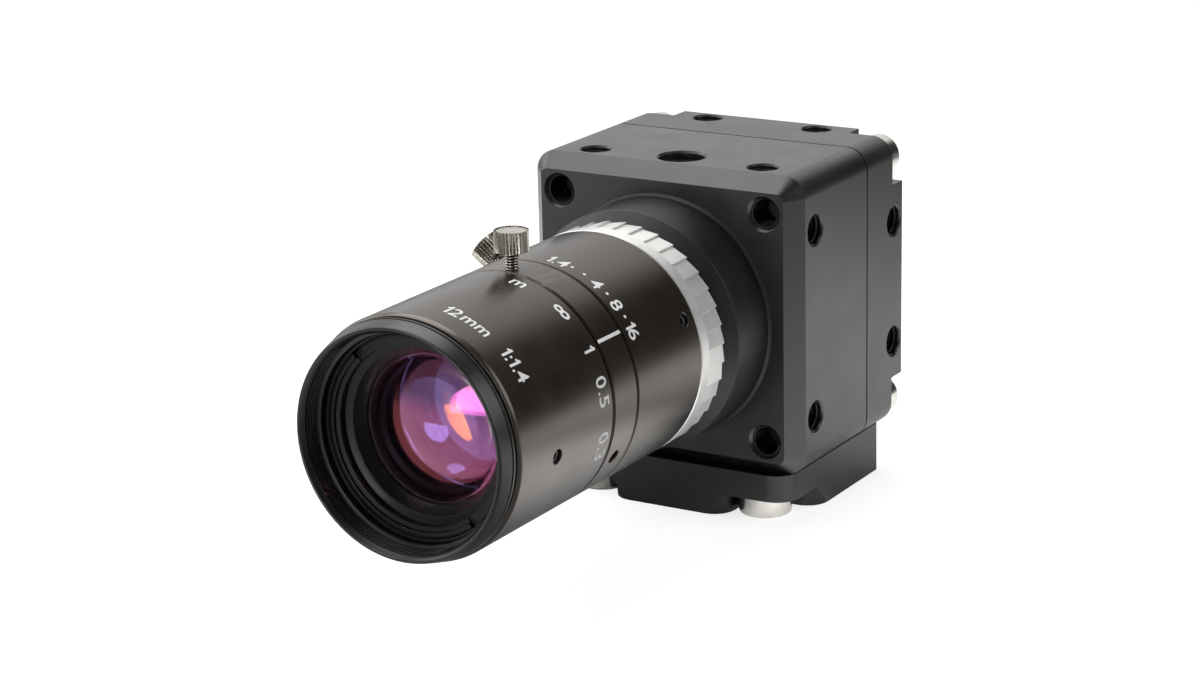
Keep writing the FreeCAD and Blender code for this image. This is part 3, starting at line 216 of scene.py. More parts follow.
def named(name):
    """Name the new object and put its place into its mesh."""
    piece = bpy.context.object
    piece.name = name
    piece.data.name = name
    bpy.ops.object.transform_apply(location=True, rotation=True, scale=True)
    return piece


def block(name, corner, far_corner):
    """Plain block between two opposite corners, in millimetres, as a start for a piece or a cutter."""
    bpy.ops.object.select_all(action="DESELECT")
    centre = [(a + b) / 2 * mm for a, b in zip(corner, far_corner)]
    size = [abs(b - a) * mm for a, b in zip(corner, far_corner)]
    bpy.ops.mesh.primitive_cube_add(size=1, location=centre, scale=size)
    return named(name)


def rod(name, radius, low, high, sides):
    """Plain upright rod between two heights, in millimetres, as a start for a piece or a cutter."""
    bpy.ops.object.select_all(action="DESELECT")
    bpy.ops.mesh.primitive_cylinder_add(vertices=sides, radius=radius * mm, depth=(high - low) * mm,
                                        location=(0, 0, (low + high) / 2 * mm))
    return named(name)


def pick(piece, kind, test):
    """Enter edit mode with only the faces or edges selected whose middle and direction pass a test."""
    only(piece)
    bpy.ops.object.mode_set(mode="EDIT")
    bpy.ops.mesh.select_mode(type=kind)
    bpy.ops.mesh.select_all(action="DESELECT")
    bpy.ops.object.mode_set(mode="OBJECT")
    mesh = piece.data
    if kind == "FACE":
        for face in mesh.polygons:
            face.select = test(face.center / mm, face.normal)
    else:
        for edge in mesh.edges:
            first, last = (mesh.vertices[i].co for i in edge.vertices)
            edge.select = test((first + last) / 2 / mm, (last - first).normalized())
    bpy.ops.object.mode_set(mode="EDIT")


def extrude(distance, axis=2):
    """Extrude what is selected in edit mode along one axis, in millimetres."""
    move = [0, 0, 0]
    move[axis] = distance * mm
    bpy.ops.mesh.extrude_region_move(TRANSFORM_OT_translate={"value": move})


def close_outwards():
    """Turn all the faces of the mesh in edit mode outwards, and leave edit mode."""
    bpy.ops.mesh.select_all(action="SELECT")
    bpy.ops.mesh.normals_make_consistent(inside=False)
    bpy.ops.object.mode_set(mode="OBJECT")


def round_edges(piece, radius, test, segments=6):
    """Round the edges whose middle and direction pass a test."""
    pick(piece, "EDGE", test)
    bpy.ops.mesh.bevel(offset=radius * mm, segments=segments, affect="EDGES")
    bpy.ops.object.mode_set(mode="OBJECT")


def cut(piece, *cutters):
    """Cut the shape of each cutter out of a piece, and delete the cutter."""
    for cutter in cutters:
        only(piece)
        bpy.ops.object.modifier_add(type="BOOLEAN")
        carve = piece.modifiers[-1]
        carve.operation = "DIFFERENCE"
        carve.solver = "EXACT"
        carve.object = cutter
        bpy.ops.object.modifier_apply(modifier=carve.name)
        bpy.data.objects.remove(cutter)


def place_along(point, outward):
    """Turns an upright piece at the origin so that its top points outward, and puts it at a point."""
    turn = Vector(up).rotation_difference(Vector(outward)).to_matrix().to_4x4()
    return Matrix.Translation(Vector(point) * mm) @ turn


def bore_cutter(radius, depth, point, outward, sink_radius=None, sink_depth=0.0, sides=48):
    """Cutter for a round hole, with a countersunk mouth where it has a sink radius."""
    cutter = rod("cutter", radius, -depth, -sink_depth if sink_radius else proud, sides)
    if sink_radius:
        pick(cutter, "FACE", lambda middle, normal: normal.z > nearly)
        extrude(sink_depth)
        widen = sink_radius / radius
        bpy.ops.transform.resize(value=(widen, widen, 1), center_override=(0, 0, 0))
        extrude(proud)
        bpy.ops.object.mode_set(mode="OBJECT")
    cutter.data.transform(place_along(point, outward))
    return cutter


def smooth_off(piece, break_width, angle=35.0):
    """Break the sharp edges, then shade the piece smooth with its flat faces kept flat."""
    only(piece)
    if break_width:
        bpy.ops.object.modifier_add(type="BEVEL")
        bevel = piece.modifiers[-1]
        bevel.width = break_width * mm
        bevel.segments = 2
        bevel.limit_method = "ANGLE"
        bevel.angle_limit = math.radians(angle)
        bpy.ops.object.modifier_apply(modifier=bevel.name)
    bpy.ops.object.shade_smooth_by_angle(angle=math.radians(angle))
    bpy.ops.object.modifier_add(type="WEIGHTED_NORMAL")
    weighted = piece.modifiers[-1]
    weighted.keep_sharp = True
    bpy.ops.object.modifier_apply(modifier=weighted.name)


def thread_ridge(name, crest, root, pitch, turns, sides=40):
    """Screw thread ridge: a small triangle swept up a helix, with its two ends closed. The radius of
    its crest is smaller than that of its root in a hole, and larger on a stem."""
    bpy.ops.object.select_all(action="DESELECT")
    bpy.ops.mesh.primitive_circle_add(vertices=3, radius=1.0, fill_type="NOTHING",
                                      rotation=(math.pi / 2, 0, 0))
    ridge = named(name)
    triangle = [(crest, 0.5), (root, 0.96), (root, 0.04)]
    for corner, (radius, pitch_share) in zip(ridge.data.vertices, triangle):
        corner.co = (radius * mm, 0, pitch_share * pitch * mm)
    bpy.ops.object.modifier_add(type="SCREW")
    screw = ridge.modifiers[-1]
    screw.axis = "Z"
    screw.screw_offset = pitch * mm
    screw.iterations = turns
    screw.steps = sides
    screw.render_steps = sides
    screw.use_merge_vertices = False
    bpy.ops.object.modifier_apply(modifier=screw.name)
    bpy.ops.object.mode_set(mode="EDIT")
    bpy.ops.mesh.select_all(action="SELECT")
    bpy.ops.mesh.fill_holes(sides=4)
    close_outwards()
    return ridge


def copies(source, name, placings):
    """Copies of a piece, each with its own mesh, joined as one piece. The model copy is deleted."""
    made = []
    for placing in placings:
        copy = source.copy()
        copy.data = source.data.copy()
        bpy.context.scene.collection.objects.link(copy)
        copy.data.transform(placing)
        made.append(copy)
    bpy.data.objects.remove(source)
    only(*made)
    if len(made) > 1:
        bpy.ops.object.join()
    made[0].name = name
    made[0].data.name = name
    return made[0]


def new_group(name, inputs, outputs):
    """Empty shader group with inputs of (name, value) and named outputs, all of them plain numbers."""
    group = bpy.data.node_groups.new(name, "ShaderNodeTree")
    for label, value in inputs:
        socket = group.interface.new_socket(label, in_out="INPUT", socket_type="NodeSocketFloat")
        socket.default_value = value
    for label in outputs:
        group.interface.new_socket(label, in_out="OUTPUT", socket_type="NodeSocketFloat")
    return group, group.nodes.new("NodeGroupInput"), group.nodes.new("NodeGroupOutput")


# Shared effect: fine etched grain and faint large patches, as on blasted and anodised aluminium.
etched_grain, grain_in, grain_out = new_group("etched_grain", [("Size", 1.0)], ["Patches", "Grain"])
grain_place = etched_grain.nodes.new("ShaderNodeTexCoord").outputs["Object"]
for grain_label, grain_scale, grain_detail in (("Patches", 190.0, 5.0), ("Grain", 7000.0, 2.0)):
    grain_noise = etched_grain.nodes.new("ShaderNodeTexNoise")
    grain_noise.inputs["Detail"].default_value = grain_detail
    etched_grain.links.new(grain_place, grain_noise.inputs["Vector"])
    etched_grain.links.new(math_node(etched_grain, "DIVIDE", grain_scale, grain_in.outputs["Size"]),
                           grain_noise.inputs["Scale"])
    etched_grain.links.new(grain_noise.outputs["Fac"], grain_out.inputs[grain_label])

# Shared effect: fine tool marks that run round the lens axis, on cylinders and on end faces alike.
tool_marks, marks_in, marks_out = new_group("tool_marks", [("Spacing", 0.0001)], ["Marks"])
marks_split = tool_marks.nodes.new("ShaderNodeSeparateXYZ")
tool_marks.links.new(tool_marks.nodes.new("ShaderNodeTexCoord").outputs["Object"], marks_split.inputs[0])
marks_flat = tool_marks.nodes.new("ShaderNodeCombineXYZ")
tool_marks.links.new(marks_split.outputs["X"], marks_flat.inputs["X"])
tool_marks.links.new(marks_split.outputs["Z"], marks_flat.inputs["Z"])
marks_reach = tool_marks.nodes.new("ShaderNodeVectorMath")
marks_reach.operation = "LENGTH"
tool_marks.links.new(marks_flat.outputs[0], marks_reach.inputs[0])
marks_sum = math_node(tool_marks, "ADD", marks_split.outputs["Y"], marks_reach.outputs["Value"])
marks_step = math_node(tool_marks, "DIVIDE", marks_sum, marks_in.outputs["Spacing"])
marks_noise = tool_marks.nodes.new("ShaderNodeTexNoise")
marks_noise.noise_dimensions = "1D"
marks_noise.inputs["Scale"].default_value = 1.0
marks_noise.inputs["Detail"].default_value = 3.0
tool_marks.links.new(marks_step, marks_noise.inputs["W"])
tool_marks.links.new(marks_noise.outputs["Fac"], marks_out.inputs["Marks"])


def ranged(tree, value, span, result=(0.0, 1.0)):
    """A value whose span is stretched to the result's, and held at its ends."""
    node = tree.nodes.new("ShaderNodeMapRange")
    for label, limit in zip(("From Min", "From Max", "To Min", "To Max"), (*span, *result)):
        node.inputs[label].default_value = limit
    tree.links.new(value, node.inputs["Value"])
    return node.outputs[0]


def metal_finish(name, dark, light, rough, metallic=0.0, grain_size=1.0, grain_depth=0.003, marks=0.0,
                 marks_spacing=0.00012, coat=0.0, gloss=0.5, sheen=(1.0, 1.0, 1.0)):
    """Surface between two near colours in soft patches, with etched grain and, if turned, tool marks.
    Gloss is how strongly it reflects, and sheen is the tint of that."""
    material = bpy.data.materials.new(name)
    material.use_nodes = True
    tree = material.node_tree
    shader = tree.nodes["Principled BSDF"]
    shader.inputs["Metallic"].default_value = metallic
    shader.inputs["Coat Weight"].default_value = coat
    shader.inputs["Specular IOR Level"].default_value = gloss
    shader.inputs["Specular Tint"].default_value = (*sheen, 1)
    grain = tree.nodes.new("ShaderNodeGroup")
    grain.node_tree = etched_grain
    grain.inputs["Size"].default_value = grain_size
    patches, height = grain.outputs["Patches"], grain.outputs["Grain"]
    if marks:
        lines = tree.nodes.new("ShaderNodeGroup")
        lines.node_tree = tool_marks
        lines.inputs["Spacing"].default_value = marks_spacing
        height = math_node(tree, "MULTIPLY_ADD", lines.outputs["Marks"], marks, height)
    colour = tree.nodes.new("ShaderNodeMix")
    colour.data_type = "RGBA"
    colour.inputs["A"].default_value = (*dark, 1)
    colour.inputs["B"].default_value = (*light, 1)
    tree.links.new(ranged(tree, patches, (0.3, 0.7)), colour.inputs["Factor"])
    tree.links.new(colour.outputs["Result"], shader.inputs["Base Color"])
    tree.links.new(ranged(tree, patches, (0.25, 0.75), rough), shader.inputs["Roughness"])
    bump = tree.nodes.new("ShaderNodeBump")
    bump.inputs["Strength"].default_value = 1.0
    bump.inputs["Distance"].default_value = grain_depth * mm
    tree.links.new(height, bump.inputs["Height"])
    tree.links.new(bump.outputs[0], shader.inputs["Normal"])
    return material


def dress(piece, material, body, slot, *nodes):
    """Give a piece its material and body, and hide the CAD nodes that it stands for. The finish slot is not
    used.
    """
    piece.data.materials.clear()
    piece.data.materials.append(material)
    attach(piece, body)
    if nodes:
        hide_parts(*nodes)


anodised_dark, anodised_light = (0.005, 0.005, 0.0055), (0.008, 0.008, 0.0085)
housing_black = metal_finish("housing_black", anodised_dark, anodised_light, (0.31, 0.38), gloss=0.7)
half_width, housing_rear = corners("front_housing")[1][:2]
edge_radius = 3.0
bevel_across, bevel_along = 2.0, 2.3
cavity_half, cavity_front = 13.0, 10.7
pocket_half, pocket_rear = 10.0, 11.0    # narrower pocket for the sensor, ahead of the cavity
front_wall = 7.0
spigot_radius = 13.5          # of the lens mount, which fills the bore in the front wall
housing = block("housing_block", (-half_width, bevel_along, -half_width),
                (half_width, housing_rear, half_width))
round_edges(housing, edge_radius, lambda middle, along: abs(along.y) > nearly, segments=10)
pick(housing, "FACE", lambda middle, normal: normal.y < -nearly)
bpy.ops.mesh.inset(thickness=bevel_across * mm, depth=bevel_along * mm)
bpy.ops.object.mode_set(mode="OBJECT")
cut(housing,
    block("cutter", (-cavity_half, cavity_front, -cavity_half),
          (cavity_half, housing_rear + overrun, cavity_half)),
    block("cutter", (-pocket_half, front_wall - overrun, -pocket_half),
          (pocket_half, pocket_rear, pocket_half)),
    bore_cutter(spigot_radius, front_wall, (0, 0, 0), forward, sides=96))

m4_hole = {"radius": 2.0, "depth": 3.4, "sink_radius": 2.2, "sink_depth": 0.25}
m4_deep_hole = {"radius": 2.0, "depth": 4.6, "sink_radius": 2.35, "sink_depth": 0.4}
tripod_hole = {"radius": 3.1, "depth": 5.2, "sink_radius": 3.35, "sink_depth": 0.3}
front_hole_out = 15.2
fore_hole_out, fore_hole_y = 12.5, 5.1
front_holes = [((x, 0, z), forward) for x in (-front_hole_out, front_hole_out)
               for z in (-front_hole_out, front_hole_out)]
fore_holes = [((x, fore_hole_y, half_width), up) for x in (-fore_hole_out, fore_hole_out)]
fore_holes += [((side * half_width, fore_hole_y, z), (side, 0, 0)) for side in (-1, 1)
               for z in (-fore_hole_out, fore_hole_out)]
top_tripod_hole = [((0, 6.1, half_width), up)]
for size, holes in ((m4_deep_hole, front_holes), (m4_hole, fore_holes), (tripod_hole, top_tripod_hole)):
    for mouth, outward in holes:
        cut(housing, bore_cutter(point=mouth, outward=outward, **size))
smooth_off(housing, 0.12)
dress(housing, housing_black, "camera", "housing_black", "front_housing")

# Threads in the housing's holes, cut in the same metal.
tapped_black = metal_finish("tapped_black", (0.003, 0.003, 0.0035), (0.005, 0.005, 0.0055), (0.40, 0.50),
                            grain_depth=0.004, gloss=0.35)
m4_thread = {"crest": 1.66, "root": 2.04, "pitch": 0.7}
tripod_thread = {"crest": 2.62, "root": 3.14, "pitch": 1.27}


def hole_threads(name, size, turns, foot, holes, slot):
    """Thread ridges in a row of like holes, as one piece. The foot is how deep each one starts."""
    sunk = Matrix.Translation((0, 0, -foot * mm))
    ridges = copies(thread_ridge("thread", turns=turns, **size), name,
                    [place_along(mouth, outward) @ sunk for mouth, outward in holes])
    dress(ridges, tapped_black, "camera", slot)


hole_threads("housing_fore_threads", m4_thread, 4, 3.55, fore_holes, "housing_black")
hole_threads("housing_front_threads", m4_thread, 5, 4.3, front_holes, "housing_black")
hole_threads("housing_tripod_thread", tripod_thread, 3, 5.15, top_tripod_hole, "housing_black")


# Gasket: a thin rubber sheet squeezed between the front housing and the rear cover. Only its edge
# shows, as a dark seam.
rubber = metal_finish("seam_rubber", (0.008, 0.008, 0.008), (0.014, 0.014, 0.014), (0.6, 0.75),
                      grain_depth=0.01)
gasket_corner = 2.65
gasket = block("seam_gasket", *corners("housing_gasket"))
round_edges(gasket, gasket_corner, lambda middle, along: abs(along.y) > nearly, segments=8)
cut(gasket, block("cutter", (-cavity_half, housing_rear - overrun, -cavity_half),
                  (cavity_half, housing_rear + overrun, cavity_half)))
smooth_off(gasket, 0)
dress(gasket, rubber, "camera", "gasket_rubber", "housing_gasket")


# Rear cover: milled from one block and black anodised. Its corners are cut back round a raised middle,
# which leaves four small flanges for the cap screws, and the raised middle has more tapped holes.
cover_black = metal_finish("cover_black", anodised_dark, anodised_light, (0.32, 0.40), gloss=0.7)
cover_rear = corners("rear_cover")[1][1]
cover_cavity_end = 25.45
flange_rear, past_rear = 27.85, 32.0
middle_half, past_side = 13.5, 23.0
relief_corner = 2.5
cover_screw_out, cover_screw_hole = 16.9, 1.6
socket_hole, lamp_hole = 6.25, 1.05
cover = block("cover_block", *corners("rear_cover"))
round_edges(cover, edge_radius, lambda middle, along: abs(along.y) > nearly, segments=10)
for side_x in (-1, 1):
    for side_z in (-1, 1):
        relief = block("cutter", (side_x * middle_half, flange_rear, side_z * middle_half),
                       (side_x * past_side, past_rear, side_z * past_side))
        round_edges(relief, relief_corner, lambda middle, along: abs(along.y) > nearly
                    and max(abs(middle.x), abs(middle.z)) < middle_half + 0.5, segments=8)
        cut(cover, relief)
cut(cover, block("cutter", (-cavity_half, housing_rear - overrun, -cavity_half),
                 (cavity_half, cover_cavity_end, cavity_half)),
    bore_cutter(socket_hole, 8.0, (0, cover_rear, 0), backward, sides=64),
    bore_cutter(lamp_hole, 8.0, (4.5, cover_rear, 9.8), backward))
aft_hole_out, aft_hole_y = 8.4, 28.35
left_aft_hole_y = 27.75       # the pair on the left stands a little further forward
aft_holes = [((x, aft_hole_y, half_width), up) for x in (-aft_hole_out, aft_hole_out)]
for side, y in ((1, aft_hole_y), (-1, left_aft_hole_y)):
    aft_holes += [((side * half_width, y, z), (side, 0, 0)) for z in (-aft_hole_out, aft_hole_out)]
for mouth, outward in aft_holes:
    cut(cover, bore_cutter(point=mouth, outward=outward, **m4_hole))
cover_screw_places = [(x, flange_rear, z) for x in (-cover_screw_out, cover_screw_out)
                      for z in (-cover_screw_out, cover_screw_out)]
for place in cover_screw_places:
    cut(cover, bore_cutter(cover_screw_hole, 8.5, place, backward))
smooth_off(cover, 0.15)
dress(cover, cover_black, "camera", "cover_black", "rear_cover")
hole_threads("cover_threads", m4_thread, 4, 3.55, aft_holes, "cover_black")


# Socket head cap screws: steel, nickel plated, with a hexagon socket in the head. Four hold the rear
# cover on, and four larger ones hold the base on.
screw_nickel = metal_finish("screw_nickel", (0.55, 0.53, 0.49), (0.70, 0.68, 0.64), (0.16, 0.27),
                            metallic=1.0, grain_size=0.6)
m3_screw = {"shank": 1.5, "head": 2.75, "height": 3.0, "socket": 1.25, "socket_depth": 1.6}
m4_screw = {"shank": 2.0, "head": 3.5, "height": 4.0, "socket": 1.5, "socket_depth": 2.2}
head_round = 0.35


def cap_screw(shank, head, height, socket, socket_depth, length):
    """Cap screw with its head's underside at the origin, its head upwards and its shank down. The
    shank and the head are radii, and the socket is half of its width across flats."""
    screw = rod("cap_screw", head, 0, height, 64)
    round_edges(screw, head_round, lambda middle, along: middle.z > height - 0.01 and abs(along.z) < 0.1,
                segments=4)
    pick(screw, "FACE", lambda middle, normal: normal.z < -nearly)
    bpy.ops.mesh.inset(thickness=(head - shank) * mm, depth=0)
    extrude(-length)
    bpy.ops.object.mode_set(mode="OBJECT")
    cut(screw, bore_cutter(socket * 2 / math.sqrt(3), socket_depth, (0, 0, height), up, sides=6))
    smooth_off(screw, 0.08)
    return screw


cover_screws = copies(cap_screw(length=15.0, **m3_screw), "cover_screws",
                      [place_along(place, backward) for place in cover_screw_places])
dress(cover_screws, screw_nickel, "camera", "screw_nickel", "rear_cover_screws")
base_seat = -22.65            # where the heads seat inside the base
base_screw_y = {"front": fore_hole_y, "rear": 16.0}
for end, y in base_screw_y.items():
    screw_pair = copies(cap_screw(length=5.4, **m4_screw), "base_screws_%s_pair" % end,
                        [place_along((x, y, base_seat), down) for x in (-fore_hole_out, fore_hole_out)])
    dress(screw_pair, screw_nickel, "camera", "screw_nickel", "base_screws_" + end)


# Mounting base: a foot milled from aluminium, black anodised and screwed under the housing. It has a
# pocket for each front screw, and a tripod hole.
base_black = metal_finish("base_black", anodised_dark, (0.007, 0.007, 0.0075), (0.31, 0.39))
base_bottom = corners("mount_base")[0][2]
base_half, base_rear = corners("mount_base")[1][:2]
front_corner, rear_corner = 3.3, 0.6
pocket_wall, pocket_end, pocket_roof = 8.8, 9.0, -23.65
pocket_inner_corner, pocket_outer_corner = 2.8, 3.0
past_front, past_flank, past_bottom = -1.0, 21.0, -28.0
base_head_hole, base_shank_hole = 3.7, 2.1
base = block("base_foot_block", *corners("mount_base"))
round_edges(base, front_corner, lambda middle, along: abs(along.z) > nearly and middle.y < 1)
round_edges(base, rear_corner, lambda middle, along: abs(along.z) > nearly and middle.y > base_rear - 0.4)
for side in (-1, 1):
    pocket = block("cutter", (side * pocket_wall, past_front, past_bottom),
                   (side * past_flank, pocket_end, pocket_roof))
    round_edges(pocket, pocket_inner_corner, lambda middle, along: abs(along.z) > nearly
                and abs(middle.x) < pocket_wall + 0.2 and middle.y > pocket_end - 1)
    cut(base, pocket)
round_edges(base, pocket_outer_corner, lambda middle, along: abs(along.z) > nearly
            and middle.z < pocket_roof - 0.05
            and ((abs(abs(middle.x) - pocket_wall) < 0.05 and middle.y < 0.5)
                 or (abs(abs(middle.x) - base_half) < 0.05 and abs(middle.y - pocket_end) < 0.05)))
for x in (-fore_hole_out, fore_hole_out):
    for y in base_screw_y.values():
        cut(base, bore_cutter(base_head_hole, base_seat - base_bottom, (x, y, base_bottom), down),
            bore_cutter(base_shank_hole, 6.9, (x, y, base_bottom), down))
base_tripod_hole = [((0, 14, base_bottom), down)]
for mouth, outward in base_tripod_hole:
    cut(base, bore_cutter(point=mouth, outward=outward, **tripod_hole))
smooth_off(base, 0.12)
dress(base, base_black, "camera", "base_black", "mount_base")
hole_threads("base_tripod_thread_ridge", tripod_thread, 3, 5.15, base_tripod_hole, "base_black")


# Lens mount: a turned aluminium boss pressed into the housing's front, black anodised, with the lens's
# thread inside and a bevelled front edge.
def turned(name, stations, closed=True, sides=144):
    """Turned piece: a circle on the lens axis, extruded and resized from one (y, radius) to the next."""
    bpy.ops.object.select_all(action="DESELECT")
    bpy.ops.mesh.primitive_circle_add(vertices=sides, radius=stations[0][1] * mm, fill_type="NOTHING",
                                      location=(0, stations[0][0] * mm, 0), rotation=(math.pi / 2, 0, 0))
    piece = named(name)
    bpy.ops.object.mode_set(mode="EDIT")
    bpy.ops.mesh.select_mode(type="VERT")
    bpy.ops.mesh.select_all(action="SELECT")
    last_y, last_radius = stations[0]
    for y, radius in stations[1:] + (stations[:1] if closed else []):
        extrude(y - last_y, axis=1)
        grow = radius / last_radius
        bpy.ops.transform.resize(value=(grow, 1, grow), center_override=(0, y * mm, 0))
        last_y, last_radius = y, radius
    bpy.ops.mesh.select_all(action="SELECT")
    bpy.ops.mesh.remove_doubles(threshold=0.000001)
    if not closed:
        bpy.ops.mesh.fill_holes(sides=0)
    close_outwards()
    return piece


def ends(node):
    """Front and rear of a CAD node along the lens axis, in millimetres."""
    low, high = corners(node)
    return low[1], high[1]


mount_black = metal_finish("mount_black", (0.004, 0.004, 0.005), (0.007, 0.007, 0.008), (0.38, 0.50),
                           grain_depth=0.006, marks=1.5, gloss=0.4)
flange_y, spigot_end = ends("lens_mount")
boss_radius, boss_bevel = 15.9, 1.5
mount_bore, mount_bore_end = 12.5, -4.0
filter_bore, filter_hole, filter_seat = 10.2, 9.0, -1.0
sensor_window, window_front = 5.6, 4.0
boss = turned("mount_boss", [
    (flange_y, mount_bore), (flange_y, boss_radius - boss_bevel), (flange_y + boss_bevel, boss_radius),
    (-0.5, boss_radius), (-0.15, 16.05), (0, 16.4), (0, spigot_radius), (spigot_end, spigot_radius),
    (spigot_end, sensor_window), (window_front, sensor_window), (window_front, filter_hole),
    (filter_seat, filter_hole), (filter_seat, filter_bore), (mount_bore_end, filter_bore),
    (mount_bore_end, mount_bore)])
smooth_off(boss, 0.1)
dress(boss, mount_black, "camera", "mount_black", "lens_mount")


# Mount ring of the lens: bright turned aluminium with a plain band and a row of ratchet flutes for
# grip. Behind them is the flange that seats on the camera, and the thread.
ring_silver = metal_finish("ring_silver", (0.78, 0.77, 0.75), (0.86, 0.85, 0.83), (0.36, 0.48), metallic=0.7,
                           grain_depth=0.002, marks=1.0)
lens_radius = corners("focus_ring")[1][2]
ring_front, ring_thread_end = ends("mount_ring")
ring_edge = 0.15
ring_inside, ring_bore, bore_front = 12.0, 10.6, -11.0
ring_thread_radius = 12.45
band_rear, flute_floor = -14.1, 13.9
ring = turned("fluted_ring", [
    (ring_front, ring_inside), (ring_front, lens_radius - ring_edge), (ring_front + ring_edge, lens_radius),
    (band_rear, lens_radius), (band_rear, flute_floor), (flange_y, flute_floor),
    (flange_y, ring_thread_radius), (ring_thread_end, ring_thread_radius), (ring_thread_end, ring_bore),
    (bore_front, ring_bore), (bore_front, ring_inside)])
flute_count, flute_length = 39, 4.05
flute_foot, flute_low = 13.6, 14.68
flute_step = math.radians(360 / flute_count)
flute_start = math.radians(3.9)
flute_end = flute_start + flute_step
bpy.ops.object.select_all(action="DESELECT")
bpy.ops.mesh.primitive_plane_add(size=1.0)
flute = named("flute")
flute_outline = [(flute_foot, flute_start), (flute_foot, flute_end), (flute_low, flute_start),
                 (lens_radius, flute_end)]
for corner, (radius, turn) in zip(flute.data.vertices, flute_outline):
    corner.co = (radius * math.sin(turn) * mm, band_rear * mm, radius * math.cos(turn) * mm)
pick(flute, "FACE", lambda middle, normal: True)
extrude(flute_length, axis=1)
close_outwards()
flute_top = 14.5              # what lies further out belongs to the top of the flute
round_edges(flute, 0.10, lambda middle, along: abs(along.y) > nearly
            and middle.length > flute_top, segments=2)
round_edges(flute, 0.12, lambda middle, along: abs(along.y) < 0.1
            and math.hypot(middle.x, middle.z) > flute_top
            and middle.y > band_rear + flute_length - 0.05, segments=2)
flutes = copies(flute, "flutes", [Matrix.Rotation(flute_step * k, 4, "Y") for k in range(flute_count)])
only(ring, flutes)
bpy.ops.object.join()
smooth_off(ring, 0, angle=28.0)
dress(ring, ring_silver, "camera", "ring_silver", "mount_ring")


# Iris ring: a turned aluminium sleeve, black anodised, that turns on the barrel. It is drilled and
# tapped for its set screws and its lock screw.
lens_black = metal_finish("lens_black", (0.0075, 0.0055, 0.004), (0.0105, 0.0075, 0.005), (0.26, 0.33),
                          grain_depth=0.002, marks=1.2, marks_spacing=0.0002, gloss=1.0,
                          sheen=(1.0, 0.90, 0.82))
sleeve_bore, sleeve_edge = 12.95, 0.2
set_screw_hole = {"radius": 0.9, "sink": 1.0}
lock_screw_hole = {"radius": 0.8, "sink": 0.95}
iris_screws = {"y": -18.27, "angles": (67.1, 187.1)}
iris_lock = {"y": -17.9, "angles": (-52.0,)}


def round_place(angle, distance, y):
    """Point and outward direction at an angle round the lens, from straight up towards the right."""
    turn = math.radians(angle)
    return (distance * math.sin(turn), y, distance * math.cos(turn)), (math.sin(turn), 0, math.cos(turn))


def sleeve_outside(front, rear):
    """Outline of the outside of a lens ring from its front to its rear, with both edges broken."""
    return [(front, lens_radius - sleeve_edge), (front + sleeve_edge, lens_radius),
            (rear - sleeve_edge, lens_radius), (rear, lens_radius - sleeve_edge)]


def screw_holes(sleeve, radius, sink, y, angles):
    """Holes through a lens ring at these angles, each with a slightly broken mouth."""
    for angle in angles:
        point, outward = round_place(angle, lens_radius, y)
        cut(sleeve, bore_cutter(radius, 2.5, point, outward, sink_radius=sink, sink_depth=0.1, sides=32))


iris_front, iris_rear = ends("iris_ring")
iris_sleeve = turned("iris_sleeve", [(iris_front, sleeve_bore)] + sleeve_outside(iris_front, iris_rear)
                     + [(iris_rear, sleeve_bore)])
screw_holes(iris_sleeve, **set_screw_hole, **iris_screws)
screw_holes(iris_sleeve, **lock_screw_hole, **iris_lock)
smooth_off(iris_sleeve, 0.05)
dress(iris_sleeve, lens_black, "iris", "lens_black", "iris_ring")


# Index ring: a narrow sleeve of the same make, screwed tight to the barrel between the two that turn.
# It carries the index line and the lock screw of the focus ring.
index_screws = {"y": -34.87, "angles": (117.9, 239.0)}
focus_lock = {"y": -35.4, "angles": (0.0,)}
barrel_radius = 12.9
index_recess, recess_end = 13.65, -33.4
index_front, index_rear = ends("index_ring")
index_sleeve = turned("index_sleeve", [(index_front, index_recess)] + sleeve_outside(index_front, index_rear)
                      + [(index_rear, barrel_radius), (recess_end, barrel_radius),
                         (recess_end, index_recess)])
screw_holes(index_sleeve, **set_screw_hole, **index_screws)
screw_holes(index_sleeve, **lock_screw_hole, **focus_lock)
smooth_off(index_sleeve, 0.05)
dress(index_sleeve, lens_black, "camera", "lens_black", "index_ring")


# Focus ring: the long front sleeve, of the same make, which carries the front group in and out as it
# turns. Its skirt runs under the index ring, and its mouth is bored out for the front rim.
focus_screws = {"y": -49.96, "angles": (98.6, 218.6, 338.6)}
focus_front, skirt_end = ends("focus_ring")
focus_rear, skirt_radius = -37.5, 13.6
rim_bore, rim_seat = 13.9, -56.6
nose_round = [(0, 0.3), (0.45, 0.05), (0.65, 0)]      # how far back, and how far in
focus_sleeve = turned("focus_sleeve", [(focus_front, rim_bore)]
                      + [(focus_front + back, lens_radius - drop) for back, drop in nose_round]
                      + sleeve_outside(focus_front, focus_rear)[2:]
                      + [(focus_rear, skirt_radius), (skirt_end, skirt_radius), (skirt_end, sleeve_bore),
                         (rim_seat, sleeve_bore), (rim_seat, rim_bore)])
screw_holes(focus_sleeve, **set_screw_hole, **focus_screws)
smooth_off(focus_sleeve, 0.05)
dress(focus_sleeve, lens_black, "focus", "lens_black", "focus_ring")
